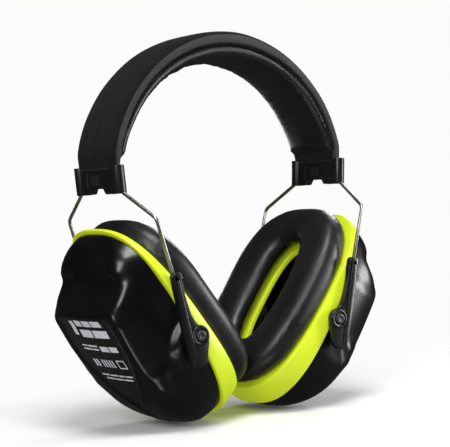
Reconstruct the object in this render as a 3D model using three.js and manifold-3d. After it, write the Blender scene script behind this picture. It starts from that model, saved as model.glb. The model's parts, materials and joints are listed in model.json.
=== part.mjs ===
// Earmuff hearing protector: two ear cups on a padded spring-wire headband.
// Millimetres. +Z up, +X towards the wearer's right ear, -Y towards the face.
// The origin is at the crown, at the middle of the headband pad's underside.
// Everything is built for the right side (+X); the left side is its mirror image.

import * as THREE from "three";
import { mergeVertices } from "three/addons/utils/BufferGeometryUtils.js";
import Module from "manifold-3d";

const wasm = await Module();
wasm.setup();

// ---------------------------------------------------------------- driving dimensions

const GAP = 0.3; // clearance kept between touching pieces
const MIDDLE_GAP = 0.35; // each cushion stays this far from the plane between the ears

// Headband: the spring wires follow a round arch, then run into the end clips.
const ARCH_RADIUS = 72.9;
const CROWN_WIRE_Z = 8.7; // wire line above the underside of the crown pad
const ARCH_END_ANGLE = THREE.MathUtils.degToRad(74);
const ARCH_STEPS = 10;
const ARCH_TAIL_STEPS = 4;
const SLEEVE_HALF_WIDTH = 18.4;
const SLEEVE_THICKNESS = 1.3;
const SLEEVE_OUTWARD = 3.0; // sleeve's outer face, outward of the wire line
const SLEEVE_INWARD = 3.3; // sleeve's side lips, inward of the wire line
const FOAM_HALF_WIDTH = 14.3;
const PAD_HALF_WIDTH = 17.2;
const PAD_DEPTH_CLIP = 5.4; // pad's underside at the clips, inward of the wire line
const PAD_TAPER_START = 0.62; // share of the way down the arch where the pad starts to thin
const WIRE_RADIUS = 0.95;
const WIRE_SIDES = 8;
const WIRE_ARCH_Y = 15.8; // half the distance between the two wires inside the sleeve
const WIRE_BEND = 2.6; // distance from each wire corner at which its bend starts
const SLEEVE_ROUND = [
  [0.45, -0.25], // [across as a share of the half width, below the outer face]
  [0.88, 0.2],
  [0.967, 1.0],
  [1.0, 2.4],
];
const PAD_ROUND = 0.6; // how far the pad's side bulges past its half width
const PAD_CORNER = 1.6; // width of the pad's rounded lower corner
const PAD_CORNER_RISE = 0.7;
const PAD_CROWN_SHARE = 0.45; // flat middle of the pad's underside, as a share of its half width
const FOAM_RECESS = 1.6; // foam's top below the inside of the sleeve
const FOAM_TAIL_START = 1.2; // above the clip's top
const FOAM_TAIL_END = 8.0; // down inside the clip
const PAD_CLIP_CLEARANCE = 1.5; // the pad stops this far above the clip

// End clips
const CLIP_CENTRE = new THREE.Vector3(71.0, 0, -62.0);
const CLIP_LEAN = THREE.MathUtils.degToRad(4.3);
const CLIP_HEIGHT = 14.0;
const CLIP_HALF_WIDTH = 21.0;
const CLIP_HALF_THICKNESS = 3.35;
const CLIP_PANEL_HALF_WIDTH = 14.0;
const CLIP_PANEL_DEPTH = 1.0; // the middle panel lies below the round columns' faces
const CLIP_NOTCH_TOP = 5.75;
const CLIP_NOTCH_BOTTOM = 7.75;
const CLIP_NOTCH_DEPTH = 2.8;
const CLIP_COLUMN_Y = 17.8; // wire position inside a column
const CLIP_PANEL_RAMP = 0.8; // width of the slope between a column and the panel
const CLIP_WIRE_IN_Z = 6.5; // heights in the clip's frame where the wire turns
const CLIP_WIRE_MIDDLE_Z = 0.5;
const CLIP_WIRE_OUT_Z = -5.4;
const CLIP_TAIL_ROOM_Z = 5.0;
const TAIL_HALF_THICKNESS = 1.1; // flattened foam tail held inside the clip
const TAIL_OUTWARD = 0.3; // tail's outer face, kept clear of the sleeve above the clip

// Wire legs below the clips
const KINK = new THREE.Vector3(65.85, 41.5, -81.8);
const LEG_ANGLE = THREE.MathUtils.degToRad(16.16); // legs lean towards the head going down
const LEG_EXPOSED = 30.0; // from the kink to the top of the arm
const LEG_INSIDE_ARM = 42.0;

// Arms: flat black levers that slide on the legs and carry the pivot pins
const ARM_INNER_Y = 39.95;
const ARM_OUTER_Y = 43.5;
const ARM_CHANNEL_RADIUS = 1.25;
const PIVOT_IN_ARM = new THREE.Vector2(-4.2, -31.8);
const BOSS_RADIUS = 5.3;
const PIN_RADIUS = 1.8;
const PIN_HEAD_RADIUS = 2.7;
const PIN_HEAD_HEIGHT = 1.0;
const PIN_TIP_Y = 36.4;
const ARM_COLLAR = { top: 1.2, left: -3.2, leftTop: -1.6, rightTop: 1.9, low: -4.8 };
const ARM_WAIST = { left: -2.7, z: -14, right: 3.4, rightZ: -12 };
const ARM_FOOT = {
  z: -46.8,
  left: -4.9,
  leftZ: -43.2,
  right: 4.7,
  rightZ: -42.5,
  flatLeft: -1.2,
  flatRight: 1.8,
};
const ARM_BOSS_START = THREE.MathUtils.degToRad(105);
const ARM_BOSS_END = THREE.MathUtils.degToRad(205);
const ARM_CHANNEL_END = 0.6; // the channel runs this far past the wire's end

// Ear cups, in their own frame: X out of the ear, Y front to rear, Z along the cup's height
const CUP_TILT = THREE.MathUtils.degToRad(37.6); // tops lean outwards
const PIVOT_IN_CUP = new THREE.Vector2(9.3, -4.9); // (outward, up) from the ring's centre
const RING_HALF_WIDTH = 38.8;
const RING_HALF_HEIGHT = 56.1;
const OUTLINE_POWER = 2.75; // super-ellipse exponent
const OUTLINE_EGG = 0.04; // the outline is a little wider at the top
const RING_DEPTH = 8.3; // ring depth at mid height
const RING_WEDGE = 0.1; // the ring gets deeper towards the bottom by this slope
const RING_FLARE = 1.02;
const RING_WALL = 2.6;
const RING_WEB = 1.6;
const EAR_HOLE = new THREE.Vector2(15.0, 33.0); // half width, half height
const EAR_LIP_HEIGHT = 2.6;
const EAR_LIP_WALL = 2.2;
const CUSHION_DEPTH = 15.0;
const CUSHION_HALF_HEIGHT = 54.6;
const CUSHION_DROP = 1.4; // the cushion sits this much lower than the ring
const CUSHION_HOLE = new THREE.Vector2(18.5, 36.0);
const PLATE_THICKNESS = 1.7;
const PLATE_EDGE = 0.895; // share of the cushion's outline
const CUSHION_OVERHANG = 2.2; // the cushion's inner wall bulges this far over the ear lip
const CUSHION_EDGE = 0.925; // shares of the outline where the cushion's back starts and its side turns
const SHELL_WALL = 2.4;
const SHELL_SCALE = 0.985;

// Shell's side walls: the outline shrinks a little with height.
const WALL = { start: 6, height: 34, taper: 0.015, lean: 0.1, stiffness: 36 };
const WALL_LOW = { lean: 0.09, from: -5, over: 15 }; // the bottom end leans in more
// Shell's outer face: its height at the middle and how it falls away along, across and at the bottom.
const FACE = { height: 40.7, middle: -13, along: 0.0023, across: 0.0016, bottomStart: -24, bottom: 0.0105 };
// Sloping top: starts at (up, outward), with a notch and a bulge in its two lips, and a finger dish
// between them.
const SLOPE = { up: 30, outward: 34.5, fall: 1.35, halfWidth: 30, stiffness: 0.6 };
const SLOPE_NOTCH = { up: 38, reach: 6.5, depth: 1.5 };
const SLOPE_BULGE = { up: 48, reach: 11, depth: 7.5 };
const SLOPE_TOE = { start: 44, curve: 0.075 };
const DISH = { edge: 3.7, depth: 8.0, start: 29, length: 9, easeStart: 42, easeLength: 13, ease: 2.6 };
// Pocket in the front and rear walls.
const POCKET = { wide: 33.6, start: 17.5, curve: 0.0115, toeStart: 20, toeCurve: 0.02 };
const POCKET_END = { up: -16.5, rise: 3.5, from: 31, over: 8 };
const POCKET_LOW = { outward: 21.2, drop: 34, from: -5, over: 26 };
const POCKET_RIM = { wide: 36.5, follow: 0.8, lean: 0.9, stiffness: 0.75 };
const SHOULDER = { bottom: 6.0, top: 3.0, from: -26, over: 12 };
const SLOPE_BLEND = 5.0;
const EDGE_BLEND = 3.0;
const POCKET_CORNER_BLEND = 8.0;
const LINER_GAP = 1.2;
const LINER_LEVEL = 4; // the liner starts at this level of the shell

const AROUND = 34; // steps round a cup
const CLIMBS = [0, 4, 10, 17, 25, 33, 41, 49, 57, 65, 73, 81, 88.6].map(THREE.MathUtils.degToRad);
const ACROSS = new THREE.Vector3(0, 1, 0);

// ---------------------------------------------------------------- geometry helpers

function solidOf(geometry) {
  const bare = geometry.clone();
  bare.deleteAttribute("normal");
  bare.deleteAttribute("uv");
  const merged = mergeVertices(bare, 1e-4);
  return new wasm.Manifold(
    new wasm.Mesh({
      numProp: 3,
      vertProperties: new Float32Array(merged.attributes.position.array),
      triVerts: new Uint32Array(merged.index.array),
    }),
  );
}

function geometryOf(solid) {
  const mesh = solid.getMesh();
  const geometry = new THREE.BufferGeometry();
  const positions = new Float32Array(mesh.vertProperties);
  geometry.setAttribute("position", new THREE.BufferAttribute(positions, 3));
  geometry.setIndex(new THREE.BufferAttribute(new Uint32Array(mesh.triVerts), 1));
  return geometry;
}

function cut(geometry, ...tools) {
  let solid = solidOf(geometry);
  for (const tool of tools) solid = solid.subtract(solidOf(tool));
  return geometryOf(solid);
}

// The geometry's mirror image, front for rear.
function mirrorY(geometry) {
  return geometryOf(solidOf(geometry).mirror([0, 1, 0]));
}

function signedVolume(points, triangles) {
  let volume = 0;
  for (let i = 0; i < triangles.length; i += 3) {
    const [a, b, c] = [points[triangles[i]], points[triangles[i + 1]], points[triangles[i + 2]]];
    volume += a.dot(new THREE.Vector3().crossVectors(b, c)) / 6;
  }
  return volume;
}

// Triangles that close a ring of points, as indices into the ring.
function capOf(ring) {
  const normal = new THREE.Vector3();
  ring.forEach((p, i) => normal.add(new THREE.Vector3().crossVectors(p, ring[(i + 1) % ring.length])));
  normal.normalize();
  const side = new THREE.Vector3(1, 0, 0).cross(normal);
  if (side.length() < 0.1) side.set(0, 1, 0).cross(normal);
  side.normalize();
  const up = new THREE.Vector3().crossVectors(normal, side);
  const flat = ring.map((p) => new THREE.Vector2(p.dot(side), p.dot(up)));
  return THREE.ShapeUtils.triangulateShape(flat, []);
}

// A closed body through rings of points. With loop, the last ring joins the first; without it, caps
// close the ends.
function loft(rings, loop = false) {
  const count = rings[0].length;
  const points = rings.flat();
  const triangles = [];
  const spans = loop ? rings.length : rings.length - 1;
  for (let i = 0; i < spans; i++) {
    const near = i * count;
    const far = ((i + 1) % rings.length) * count;
    for (let j = 0; j < count; j++) {
      const next = (j + 1) % count;
      triangles.push(near + j, near + next, far + next);
      triangles.push(near + j, far + next, far + j);
    }
  }
  if (!loop) {
    const last = (rings.length - 1) * count;
    for (const [a, b, c] of capOf(rings[0])) triangles.push(c, b, a);
    for (const [a, b, c] of capOf(rings[rings.length - 1])) triangles.push(last + a, last + b, last + c);
  }
  if (signedVolume(points, triangles) < 0) triangles.reverse();
  const geometry = new THREE.BufferGeometry().setFromPoints(points);
  geometry.setIndex(triangles);
  return geometry;
}

// A round tube along a list of points, keeping its section square to the path.
function tube(path, radius, sides) {
  let normal = new THREE.Vector3(0, 1, 0);
  const rings = path.map((point, i) => {
    const before = path[Math.max(i - 1, 0)];
    const after = path[Math.min(i + 1, path.length - 1)];
    const along = new THREE.Vector3().subVectors(after, before).normalize();
    normal = normal.clone().addScaledVector(along, -normal.dot(along)).normalize();
    const side = new THREE.Vector3().crossVectors(along, normal);
    return Array.from({ length: sides }, (_, k) => {
      const angle = (2 * Math.PI * k) / sides;
      return point
        .clone()
        .addScaledVector(normal, radius * Math.cos(angle))
        .addScaledVector(side, radius * Math.sin(angle));
    });
  });
  return loft(rings);
}

function stepTowards(from, to, distance) {
  return from.clone().addScaledVector(new THREE.Vector3().subVectors(to, from).normalize(), distance);
}

// The path's corners replaced by short bends that start `reach` before each corner.
function bent(corners, reach) {
  const path = [corners[0]];
  for (let i = 1; i < corners.length - 1; i++) {
    const before = Math.min(reach, 0.45 * corners[i].distanceTo(corners[i - 1]));
    const after = Math.min(reach, 0.45 * corners[i].distanceTo(corners[i + 1]));
    const start = stepTowards(corners[i], corners[i - 1], before);
    const end = stepTowards(corners[i], corners[i + 1], after);
    const bend = new THREE.QuadraticBezierCurve3(start, corners[i], end);
    path.push(...bend.getPoints(3));
  }
  path.push(corners[corners.length - 1]);
  return path;
}

function extrudedAlongZ(shape, bottom, top, curveSegments = 8) {
  const settings = { depth: top - bottom, bevelEnabled: false, curveSegments };
  const geometry = new THREE.ExtrudeGeometry(shape, settings);
  return geometry.translate(0, 0, bottom);
}

// A shape drawn in X and Z, extruded from one Y to another.
function extrudedAlongY(shape, near, far, curveSegments = 8) {
  const settings = { depth: far - near, bevelEnabled: false, curveSegments };
  const geometry = new THREE.ExtrudeGeometry(shape, settings);
  return geometry.rotateX(Math.PI / 2).translate(0, far, 0);
}

function rodAlongY(radius, near, far, x, z, sides = 16) {
  const geometry = new THREE.CylinderGeometry(radius, radius, far - near, sides);
  return geometry.translate(x, (near + far) / 2, z);
}

const mirrored = (p) => new THREE.Vector3(-p.x, p.y, p.z);
const smooth = (t) => THREE.MathUtils.smoothstep(t, 0, 1);
const symmetric = (half) => [...half, ...half.map(([across, outward]) => [-across, outward]).reverse()];

// Smaller and larger of two values, rounded over `blend` where they meet.
function softMin(a, b, blend) {
  const mix = THREE.MathUtils.clamp(0.5 + (0.5 * (b - a)) / blend, 0, 1);
  return THREE.MathUtils.lerp(b, a, mix) - blend * mix * (1 - mix);
}
const softMax = (a, b, blend) => -softMin(-a, -b, blend);

// 1 in the middle of a span, falling smoothly to 0 at its ends.
function bump(distance, reach) {
  const t = Math.min(Math.abs(distance) / reach, 1);
  return (1 - t * t) ** 2;
}

// ---------------------------------------------------------------- materials

function plastic(color, roughness) {
  return new THREE.MeshStandardMaterial({ color, roughness, metalness: 0 });
}

const materials = {
  sleeve: () => plastic(0x2b2a2b, 0.9),
  foam: () => plastic(0x3a3a3c, 1.0),
  pad: () => plastic(0x101012, 0.4),
  cushion: () => plastic(0x131315, 0.38),
  clip: () => plastic(0x131314, 0.32),
  arm: () => plastic(0x0d0d0f, 0.22),
  shell: () => plastic(0x0a0a0c, 0.14),
  ring: () => plastic(0xcdf53a, 0.3),
  plate: () => plastic(0x18181a, 0.5),
  wire: () => new THREE.MeshStandardMaterial({ color: 0x9b9b98, roughness: 0.25, metalness: 1 }),
  pin: () => new THREE.MeshStandardMaterial({ color: 0x2a2a2c, roughness: 0.3, metalness: 0 }),
};

function piece(name, geometry, material) {
  const mesh = new THREE.Mesh(geometry, material());
  mesh.name = name;
  return mesh;
}

// ---------------------------------------------------------------- headband

// The wire line from the crown to the top of the right clip, with its outward direction and its share of
// the way down.
function bandStations() {
  const centreZ = CROWN_WIRE_Z - ARCH_RADIUS;
  const arcPoint = (angle) =>
    new THREE.Vector3(ARCH_RADIUS * Math.sin(angle), 0, centreZ + ARCH_RADIUS * Math.cos(angle));
  const clipUp = new THREE.Vector3(Math.sin(CLIP_LEAN), 0, Math.cos(CLIP_LEAN));
  const clipTop = CLIP_CENTRE.clone().addScaledVector(clipUp, CLIP_HEIGHT / 2);
  const arcEnd = arcPoint(ARCH_END_ANGLE);
  const arcAlong = new THREE.Vector3(Math.cos(ARCH_END_ANGLE), 0, -Math.sin(ARCH_END_ANGLE));
  const reach = arcEnd.distanceTo(clipTop) / 3;
  const tail = new THREE.CubicBezierCurve3(
    arcEnd,
    arcEnd.clone().addScaledVector(arcAlong, reach),
    clipTop.clone().addScaledVector(clipUp, reach),
    clipTop,
  );
  const stations = [];
  for (let i = 0; i <= ARCH_STEPS; i++) {
    const angle = (ARCH_END_ANGLE * i) / ARCH_STEPS;
    stations.push({ at: arcPoint(angle), along: new THREE.Vector3(Math.cos(angle), 0, -Math.sin(angle)) });
  }
  for (let i = 1; i <= ARCH_TAIL_STEPS; i++) {
    const t = i / ARCH_TAIL_STEPS;
    stations.push({ at: tail.getPoint(t), along: tail.getTangent(t) });
  }
  stations.forEach((station, i) => {
    station.out = new THREE.Vector3(-station.along.z, 0, station.along.x);
    station.share = i / (stations.length - 1);
  });
  return stations;
}

const STATIONS = bandStations();
const CLIP_UP = new THREE.Vector3(Math.sin(CLIP_LEAN), 0, Math.cos(CLIP_LEAN));
const CLIP_OUT = new THREE.Vector3(Math.cos(CLIP_LEAN), 0, -Math.sin(CLIP_LEAN));

// Sweeps a section over the whole band. section(share) gives [across, outward] points; extra stations
// follow the last.
function overBand(section, endShift, extra = []) {
  const last = STATIONS[STATIONS.length - 1];
  const half = STATIONS.slice(0, -1).concat([
    { at: last.at.clone().addScaledVector(CLIP_UP, endShift), out: CLIP_OUT, share: 1 },
    ...extra,
  ]);
  const ringAt = (station) =>
    section(station.share).map(([across, outward]) =>
      station.at.clone().addScaledVector(ACROSS, across).addScaledVector(station.out, outward),
    );
  const right = half.map(ringAt);
  const left = right.slice(1).map((ring) => ring.map(mirrored));
  return loft([...left.reverse(), ...right]);
}

// Textile cover: a shallow channel over the wires, open towards the head.
function sleeveGeometry() {
  const inner = SLEEVE_HALF_WIDTH - SLEEVE_THICKNESS;
  const half = [
    ...SLEEVE_ROUND.map(([share, below]) => [share * SLEEVE_HALF_WIDTH, SLEEVE_OUTWARD - below]),
    [SLEEVE_HALF_WIDTH, -SLEEVE_INWARD],
    [inner, -SLEEVE_INWARD],
    [inner, SLEEVE_OUTWARD - SLEEVE_THICKNESS - 0.2],
  ];
  return overBand(() => symmetric(half), GAP);
}

// Foam strip between the two wires; its tails are pressed flat inside the clips.
function foamGeometry() {
  const strip = (outward, inward) =>
    symmetric([
      [FOAM_HALF_WIDTH, outward],
      [FOAM_HALF_WIDTH, inward],
    ]);
  const top = SLEEVE_OUTWARD - SLEEVE_THICKNESS - FOAM_RECESS;
  const body = strip(top, GAP - SLEEVE_INWARD);
  const tail = strip(TAIL_OUTWARD, -TAIL_HALF_THICKNESS);
  const last = STATIONS[STATIONS.length - 1].at;
  const tailEnd = { at: last.clone().addScaledVector(CLIP_UP, -FOAM_TAIL_END), out: CLIP_OUT, share: 1 };
  return overBand((share) => (share === 1 ? tail : body), FOAM_TAIL_START, [tailEnd]);
}

// Crowned leatherette pad against the head.
function padGeometry() {
  const top = SLEEVE_INWARD + GAP;
  const w = PAD_HALF_WIDTH;
  const section = (share) => {
    const thin = smooth((share - PAD_TAPER_START) / (1 - PAD_TAPER_START));
    const deep = THREE.MathUtils.lerp(CROWN_WIRE_Z, PAD_DEPTH_CLIP, thin);
    return symmetric([
      [w, -top],
      [w + PAD_ROUND, -(top + deep) / 2],
      [w - PAD_CORNER, PAD_CORNER_RISE - deep],
      [w * PAD_CROWN_SHARE, -deep],
    ]);
  };
  return overBand(section, PAD_CLIP_CLEARANCE);
}

// Corner points of the right half of the rear wire, from the crown to its end inside the arm.
function wireCorners() {
  const inClip = (y, z) =>
    CLIP_CENTRE.clone().addScaledVector(CLIP_UP, z).add(new THREE.Vector3(0, y, 0));
  const legDown = new THREE.Vector3(-Math.sin(LEG_ANGLE), 0, -Math.cos(LEG_ANGLE));
  const arch = STATIONS.slice(0, -1).map(({ at }) => at.clone().setY(WIRE_ARCH_Y));
  const bends = [
    inClip(WIRE_ARCH_Y, CLIP_WIRE_IN_Z),
    inClip(CLIP_COLUMN_Y, CLIP_WIRE_MIDDLE_Z),
    inClip(CLIP_COLUMN_Y, CLIP_WIRE_OUT_Z),
    KINK,
    KINK.clone().addScaledVector(legDown, LEG_EXPOSED + LEG_INSIDE_ARM),
  ];
  return { arch, bends };
}

function wirePath() {
  const { arch, bends } = wireCorners();
  const right = [...arch.slice(0, -1), ...bent([arch[arch.length - 1], ...bends], WIRE_BEND)];
  const left = right.slice(1).map(mirrored);
  return [...left.reverse(), ...right];
}

function headband() {
  const group = new THREE.Group();
  const wire = tube(wirePath(), WIRE_RADIUS, WIRE_SIDES);
  group.add(piece("headband_sleeve", sleeveGeometry(), materials.sleeve));
  group.add(piece("headband_foam", foamGeometry(), materials.foam));
  group.add(piece("headband_pad", padGeometry(), materials.pad));
  group.add(piece("headband_wire_front", mirrorY(wire), materials.wire));
  group.add(piece("headband_wire_rear", wire, materials.wire));
  return group;
}

// ---------------------------------------------------------------- end clips

// Room for both wires, in the clip's own frame.
function clipWireChannels() {
  const toClip = (p) => {
    const d = p.clone().sub(CLIP_CENTRE);
    return new THREE.Vector3(d.dot(CLIP_OUT), p.y, d.dot(CLIP_UP));
  };
  const { arch, bends } = wireCorners();
  const path = bent([arch[arch.length - 1], ...bends.slice(0, 4)], WIRE_BEND).map(toClip);
  const rear = tube(path, WIRE_RADIUS + GAP, WIRE_SIDES);
  return [rear, mirrorY(rear)];
}

function clipNotch() {
  const low = -CLIP_HEIGHT / 2;
  const slope = (CLIP_NOTCH_BOTTOM - CLIP_NOTCH_TOP) / CLIP_NOTCH_DEPTH;
  const below = 1; // the cutting shape reaches this far under the clip
  const wide = CLIP_NOTCH_BOTTOM + slope * below;
  const shape = new THREE.Shape([
    new THREE.Vector2(-wide, low - below),
    new THREE.Vector2(wide, low - below),
    new THREE.Vector2(CLIP_NOTCH_TOP, low + CLIP_NOTCH_DEPTH),
    new THREE.Vector2(-CLIP_NOTCH_TOP, low + CLIP_NOTCH_DEPTH),
  ]);
  const thick = 4 * CLIP_HALF_THICKNESS;
  const geometry = new THREE.ExtrudeGeometry(shape, { depth: thick, bevelEnabled: false });
  return geometry.translate(0, 0, -thick / 2).rotateX(Math.PI / 2).rotateZ(Math.PI / 2);
}

// One half of a clip: round columns front and rear, and a sunken panel between them.
function clipOutline() {
  const t = CLIP_HALF_THICKNESS;
  const columnY = CLIP_HALF_WIDTH - t;
  const panel = CLIP_PANEL_HALF_WIDTH;
  const face = t - CLIP_PANEL_DEPTH;
  const parting = GAP / 2;
  const shape = new THREE.Shape();
  shape.moveTo(parting, -CLIP_HALF_WIDTH);
  shape.absarc(parting, -columnY, t - parting, -Math.PI / 2, 0, false);
  shape.lineTo(t, -panel - CLIP_PANEL_RAMP);
  shape.lineTo(face, -panel);
  shape.lineTo(face, panel);
  shape.lineTo(t, panel + CLIP_PANEL_RAMP);
  shape.absarc(parting, columnY, t - parting, 0, Math.PI / 2, false);
  shape.lineTo(parting, -CLIP_HALF_WIDTH);
  return shape;
}

function clipHalfGeometry(facing) {
  const body = extrudedAlongZ(clipOutline(), -CLIP_HEIGHT / 2, CLIP_HEIGHT / 2, 5);
  const tailRoom = new THREE.BoxGeometry(
    2 * (TAIL_HALF_THICKNESS + GAP),
    2 * (FOAM_HALF_WIDTH + GAP),
    CLIP_HEIGHT,
  ).translate(0, 0, CLIP_TAIL_ROOM_Z);
  if (facing < 0) body.rotateZ(Math.PI);
  return cut(body, tailRoom, clipNotch(), ...clipWireChannels());
}

function clip(label) {
  const group = new THREE.Group();
  group.position.copy(CLIP_CENTRE);
  group.rotation.y = CLIP_LEAN;
  group.add(piece(`${label}_clip_outer`, clipHalfGeometry(1), materials.clip));
  group.add(piece(`${label}_clip_inner`, clipHalfGeometry(-1), materials.clip));
  return group;
}

// ---------------------------------------------------------------- arms and pivot pins

// Outline of an arm in its own frame: X outward of the wire line, Z up from the arm's top.
function armOutline() {
  const boss = PIVOT_IN_ARM;
  const bossTop = boss.y + BOSS_RADIUS;
  const shape = new THREE.Shape();
  shape.moveTo(ARM_COLLAR.leftTop, ARM_COLLAR.top);
  shape.lineTo(ARM_COLLAR.left, -ARM_COLLAR.top);
  shape.lineTo(ARM_COLLAR.left, ARM_COLLAR.low);
  shape.quadraticCurveTo(ARM_WAIST.left - 0.2, ARM_COLLAR.low - 3.2, ARM_WAIST.left, ARM_WAIST.z);
  shape.quadraticCurveTo(ARM_WAIST.left + 0.1, bossTop + 6.5, boss.x - 0.4, bossTop + 0.6);
  shape.absarc(boss.x, boss.y, BOSS_RADIUS, ARM_BOSS_START, ARM_BOSS_END, false);
  shape.lineTo(ARM_FOOT.left, ARM_FOOT.leftZ);
  shape.quadraticCurveTo(ARM_FOOT.left + 1, ARM_FOOT.z + 0.2, ARM_FOOT.flatLeft, ARM_FOOT.z);
  shape.lineTo(ARM_FOOT.flatRight, ARM_FOOT.z);
  shape.quadraticCurveTo(ARM_FOOT.right + 0.1, ARM_FOOT.z + 0.4, ARM_FOOT.right, ARM_FOOT.rightZ);
  shape.quadraticCurveTo(ARM_FOOT.right - 0.1, bossTop + 0.5, ARM_WAIST.right, ARM_WAIST.rightZ);
  shape.lineTo(ARM_COLLAR.rightTop, 0.75 * ARM_COLLAR.top);
  shape.closePath();
  return shape;
}

function armGeometry() {
  const body = extrudedAlongY(armOutline(), ARM_INNER_Y, ARM_OUTER_Y, 7);
  const wire = [
    new THREE.Vector3(0, KINK.y, 3 * ARM_COLLAR.top),
    new THREE.Vector3(0, KINK.y, -(LEG_INSIDE_ARM + ARM_CHANNEL_END)),
  ];
  const channel = tube(wire, ARM_CHANNEL_RADIUS, 10);
  const [x, z] = PIVOT_IN_ARM;
  const pinHole = rodAlongY(PIN_RADIUS + GAP, ARM_INNER_Y - 1, ARM_OUTER_Y + 1, x, z);
  return cut(body, channel, pinHole);
}

// Round pin: a shaft through the arm into the cup, with a domed head outside.
function pinGeometry() {
  const headStart = ARM_OUTER_Y + GAP;
  const profile = [
    new THREE.Vector2(0, PIN_TIP_Y),
    new THREE.Vector2(PIN_RADIUS, PIN_TIP_Y),
    new THREE.Vector2(PIN_RADIUS, headStart),
    new THREE.Vector2(PIN_HEAD_RADIUS, headStart),
    new THREE.Vector2(PIN_HEAD_RADIUS, headStart + 0.45 * PIN_HEAD_HEIGHT),
    new THREE.Vector2(0.75 * PIN_HEAD_RADIUS, headStart + PIN_HEAD_HEIGHT),
    new THREE.Vector2(0, headStart + PIN_HEAD_HEIGHT),
  ];
  return new THREE.LatheGeometry(profile, 16).translate(PIVOT_IN_ARM.x, 0, PIVOT_IN_ARM.y);
}

function arms(label) {
  const group = new THREE.Group();
  const arm = armGeometry();
  const pin = pinGeometry();
  group.position.set(
    KINK.x - LEG_EXPOSED * Math.sin(LEG_ANGLE),
    0,
    KINK.z - LEG_EXPOSED * Math.cos(LEG_ANGLE),
  );
  group.rotation.y = LEG_ANGLE;
  group.add(piece(`${label}_arm_rear`, arm, materials.arm));
  group.add(piece(`${label}_arm_front`, mirrorY(arm), materials.arm));
  group.add(piece(`${label}_pivot_pin_rear`, pin, materials.pin));
  group.add(piece(`${label}_pivot_pin_front`, mirrorY(pin), materials.pin));
  return group;
}

// ---------------------------------------------------------------- ear cups

// Centre of the ring in the part's frame, found from the pivot that the arms hold.
function cupCentre() {
  const leg = new THREE.Euler(0, LEG_ANGLE, 0);
  const cup = new THREE.Euler(0, CUP_TILT, 0);
  const legDown = new THREE.Vector3(-Math.sin(LEG_ANGLE), 0, -Math.cos(LEG_ANGLE));
  const armTop = KINK.clone().setY(0).addScaledVector(legDown, LEG_EXPOSED);
  const pivot = armTop.add(new THREE.Vector3(PIVOT_IN_ARM.x, 0, PIVOT_IN_ARM.y).applyEuler(leg));
  return pivot.sub(new THREE.Vector3(PIVOT_IN_CUP.x, 0, PIVOT_IN_CUP.y).applyEuler(cup));
}

const CUP_CENTRE = cupCentre();

// Point on the cup's egg-shaped outline, as [front-rear, up], at a scale of the ring's size.
function outline(angle, scale, halfWidth = RING_HALF_WIDTH, halfHeight = RING_HALF_HEIGHT) {
  const c = Math.cos(angle);
  const s = Math.sin(angle);
  const reach = (Math.abs(c) ** OUTLINE_POWER + Math.abs(s) ** OUTLINE_POWER) ** (-1 / OUTLINE_POWER);
  const up = halfHeight * reach * s;
  const across = halfWidth * reach * c * (1 + (OUTLINE_EGG * up) / halfHeight);
  return [across * scale, up * scale];
}

const ringTop = (up) => RING_DEPTH - RING_WEDGE * up;

const roundCup = (makeRing) =>
  Array.from({ length: AROUND }, (_, i) => makeRing((2 * Math.PI * i) / AROUND));

const at = ([across, up], outward) => new THREE.Vector3(outward, across, up);

// Moves a point of a cushion away from the middle plane, where the two cushions press together.
function clearOfMiddle(point) {
  const x = CUP_CENTRE.x + point.z * Math.sin(CUP_TILT) + point.x * Math.cos(CUP_TILT);
  if (x < MIDDLE_GAP) point.x += (MIDDLE_GAP - x) / Math.cos(CUP_TILT);
  return point;
}

function pinSockets() {
  const radius = PIN_RADIUS + GAP;
  const [x, z] = [PIVOT_IN_CUP.x, PIVOT_IN_CUP.y];
  return [
    rodAlongY(radius, PIN_TIP_Y - 2, ARM_INNER_Y + 1, x, z),
    rodAlongY(radius, -ARM_INNER_Y - 1, -PIN_TIP_Y + 2, x, z),
  ];
}

function ringGeometry() {
  const rings = roundCup((angle) => {
    const outer = outline(angle, 1);
    const flare = outline(angle, RING_FLARE);
    const wallTop = outline(angle, 1, RING_HALF_WIDTH - RING_WALL, RING_HALF_HEIGHT - RING_WALL);
    const lipOuter = outline(angle, 1, EAR_HOLE.x + EAR_LIP_WALL, EAR_HOLE.y + EAR_LIP_WALL);
    const hole = outline(angle, 1, EAR_HOLE.x, EAR_HOLE.y);
    return [
      at(outer, 0),
      at(flare, ringTop(flare[1])),
      at(wallTop, ringTop(wallTop[1])),
      at(wallTop, RING_WEB),
      at(lipOuter, RING_WEB),
      at(lipOuter, EAR_LIP_HEIGHT),
      at(hole, EAR_LIP_HEIGHT),
      at(hole, 0),
    ];
  });
  return cut(loft(rings, true), ...pinSockets());
}

// Outline of the cushion, a little smaller and lower than the ring's.
function cushionOutline(angle, scale) {
  const [across, up] = outline(angle, scale, RING_HALF_WIDTH, CUSHION_HALF_HEIGHT);
  return [across, up - CUSHION_DROP];
}

function plateGeometry() {
  const rings = roundCup((angle) => {
    const outer = cushionOutline(angle, PLATE_EDGE);
    const inner = outline(angle, 1, CUSHION_HOLE.x + 2, CUSHION_HOLE.y + 2);
    return [
      at(outer, -GAP),
      at(inner, -GAP),
      at(inner, -GAP - PLATE_THICKNESS),
      at(outer, -GAP - PLATE_THICKNESS),
    ];
  });
  return loft(rings, true);
}

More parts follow.
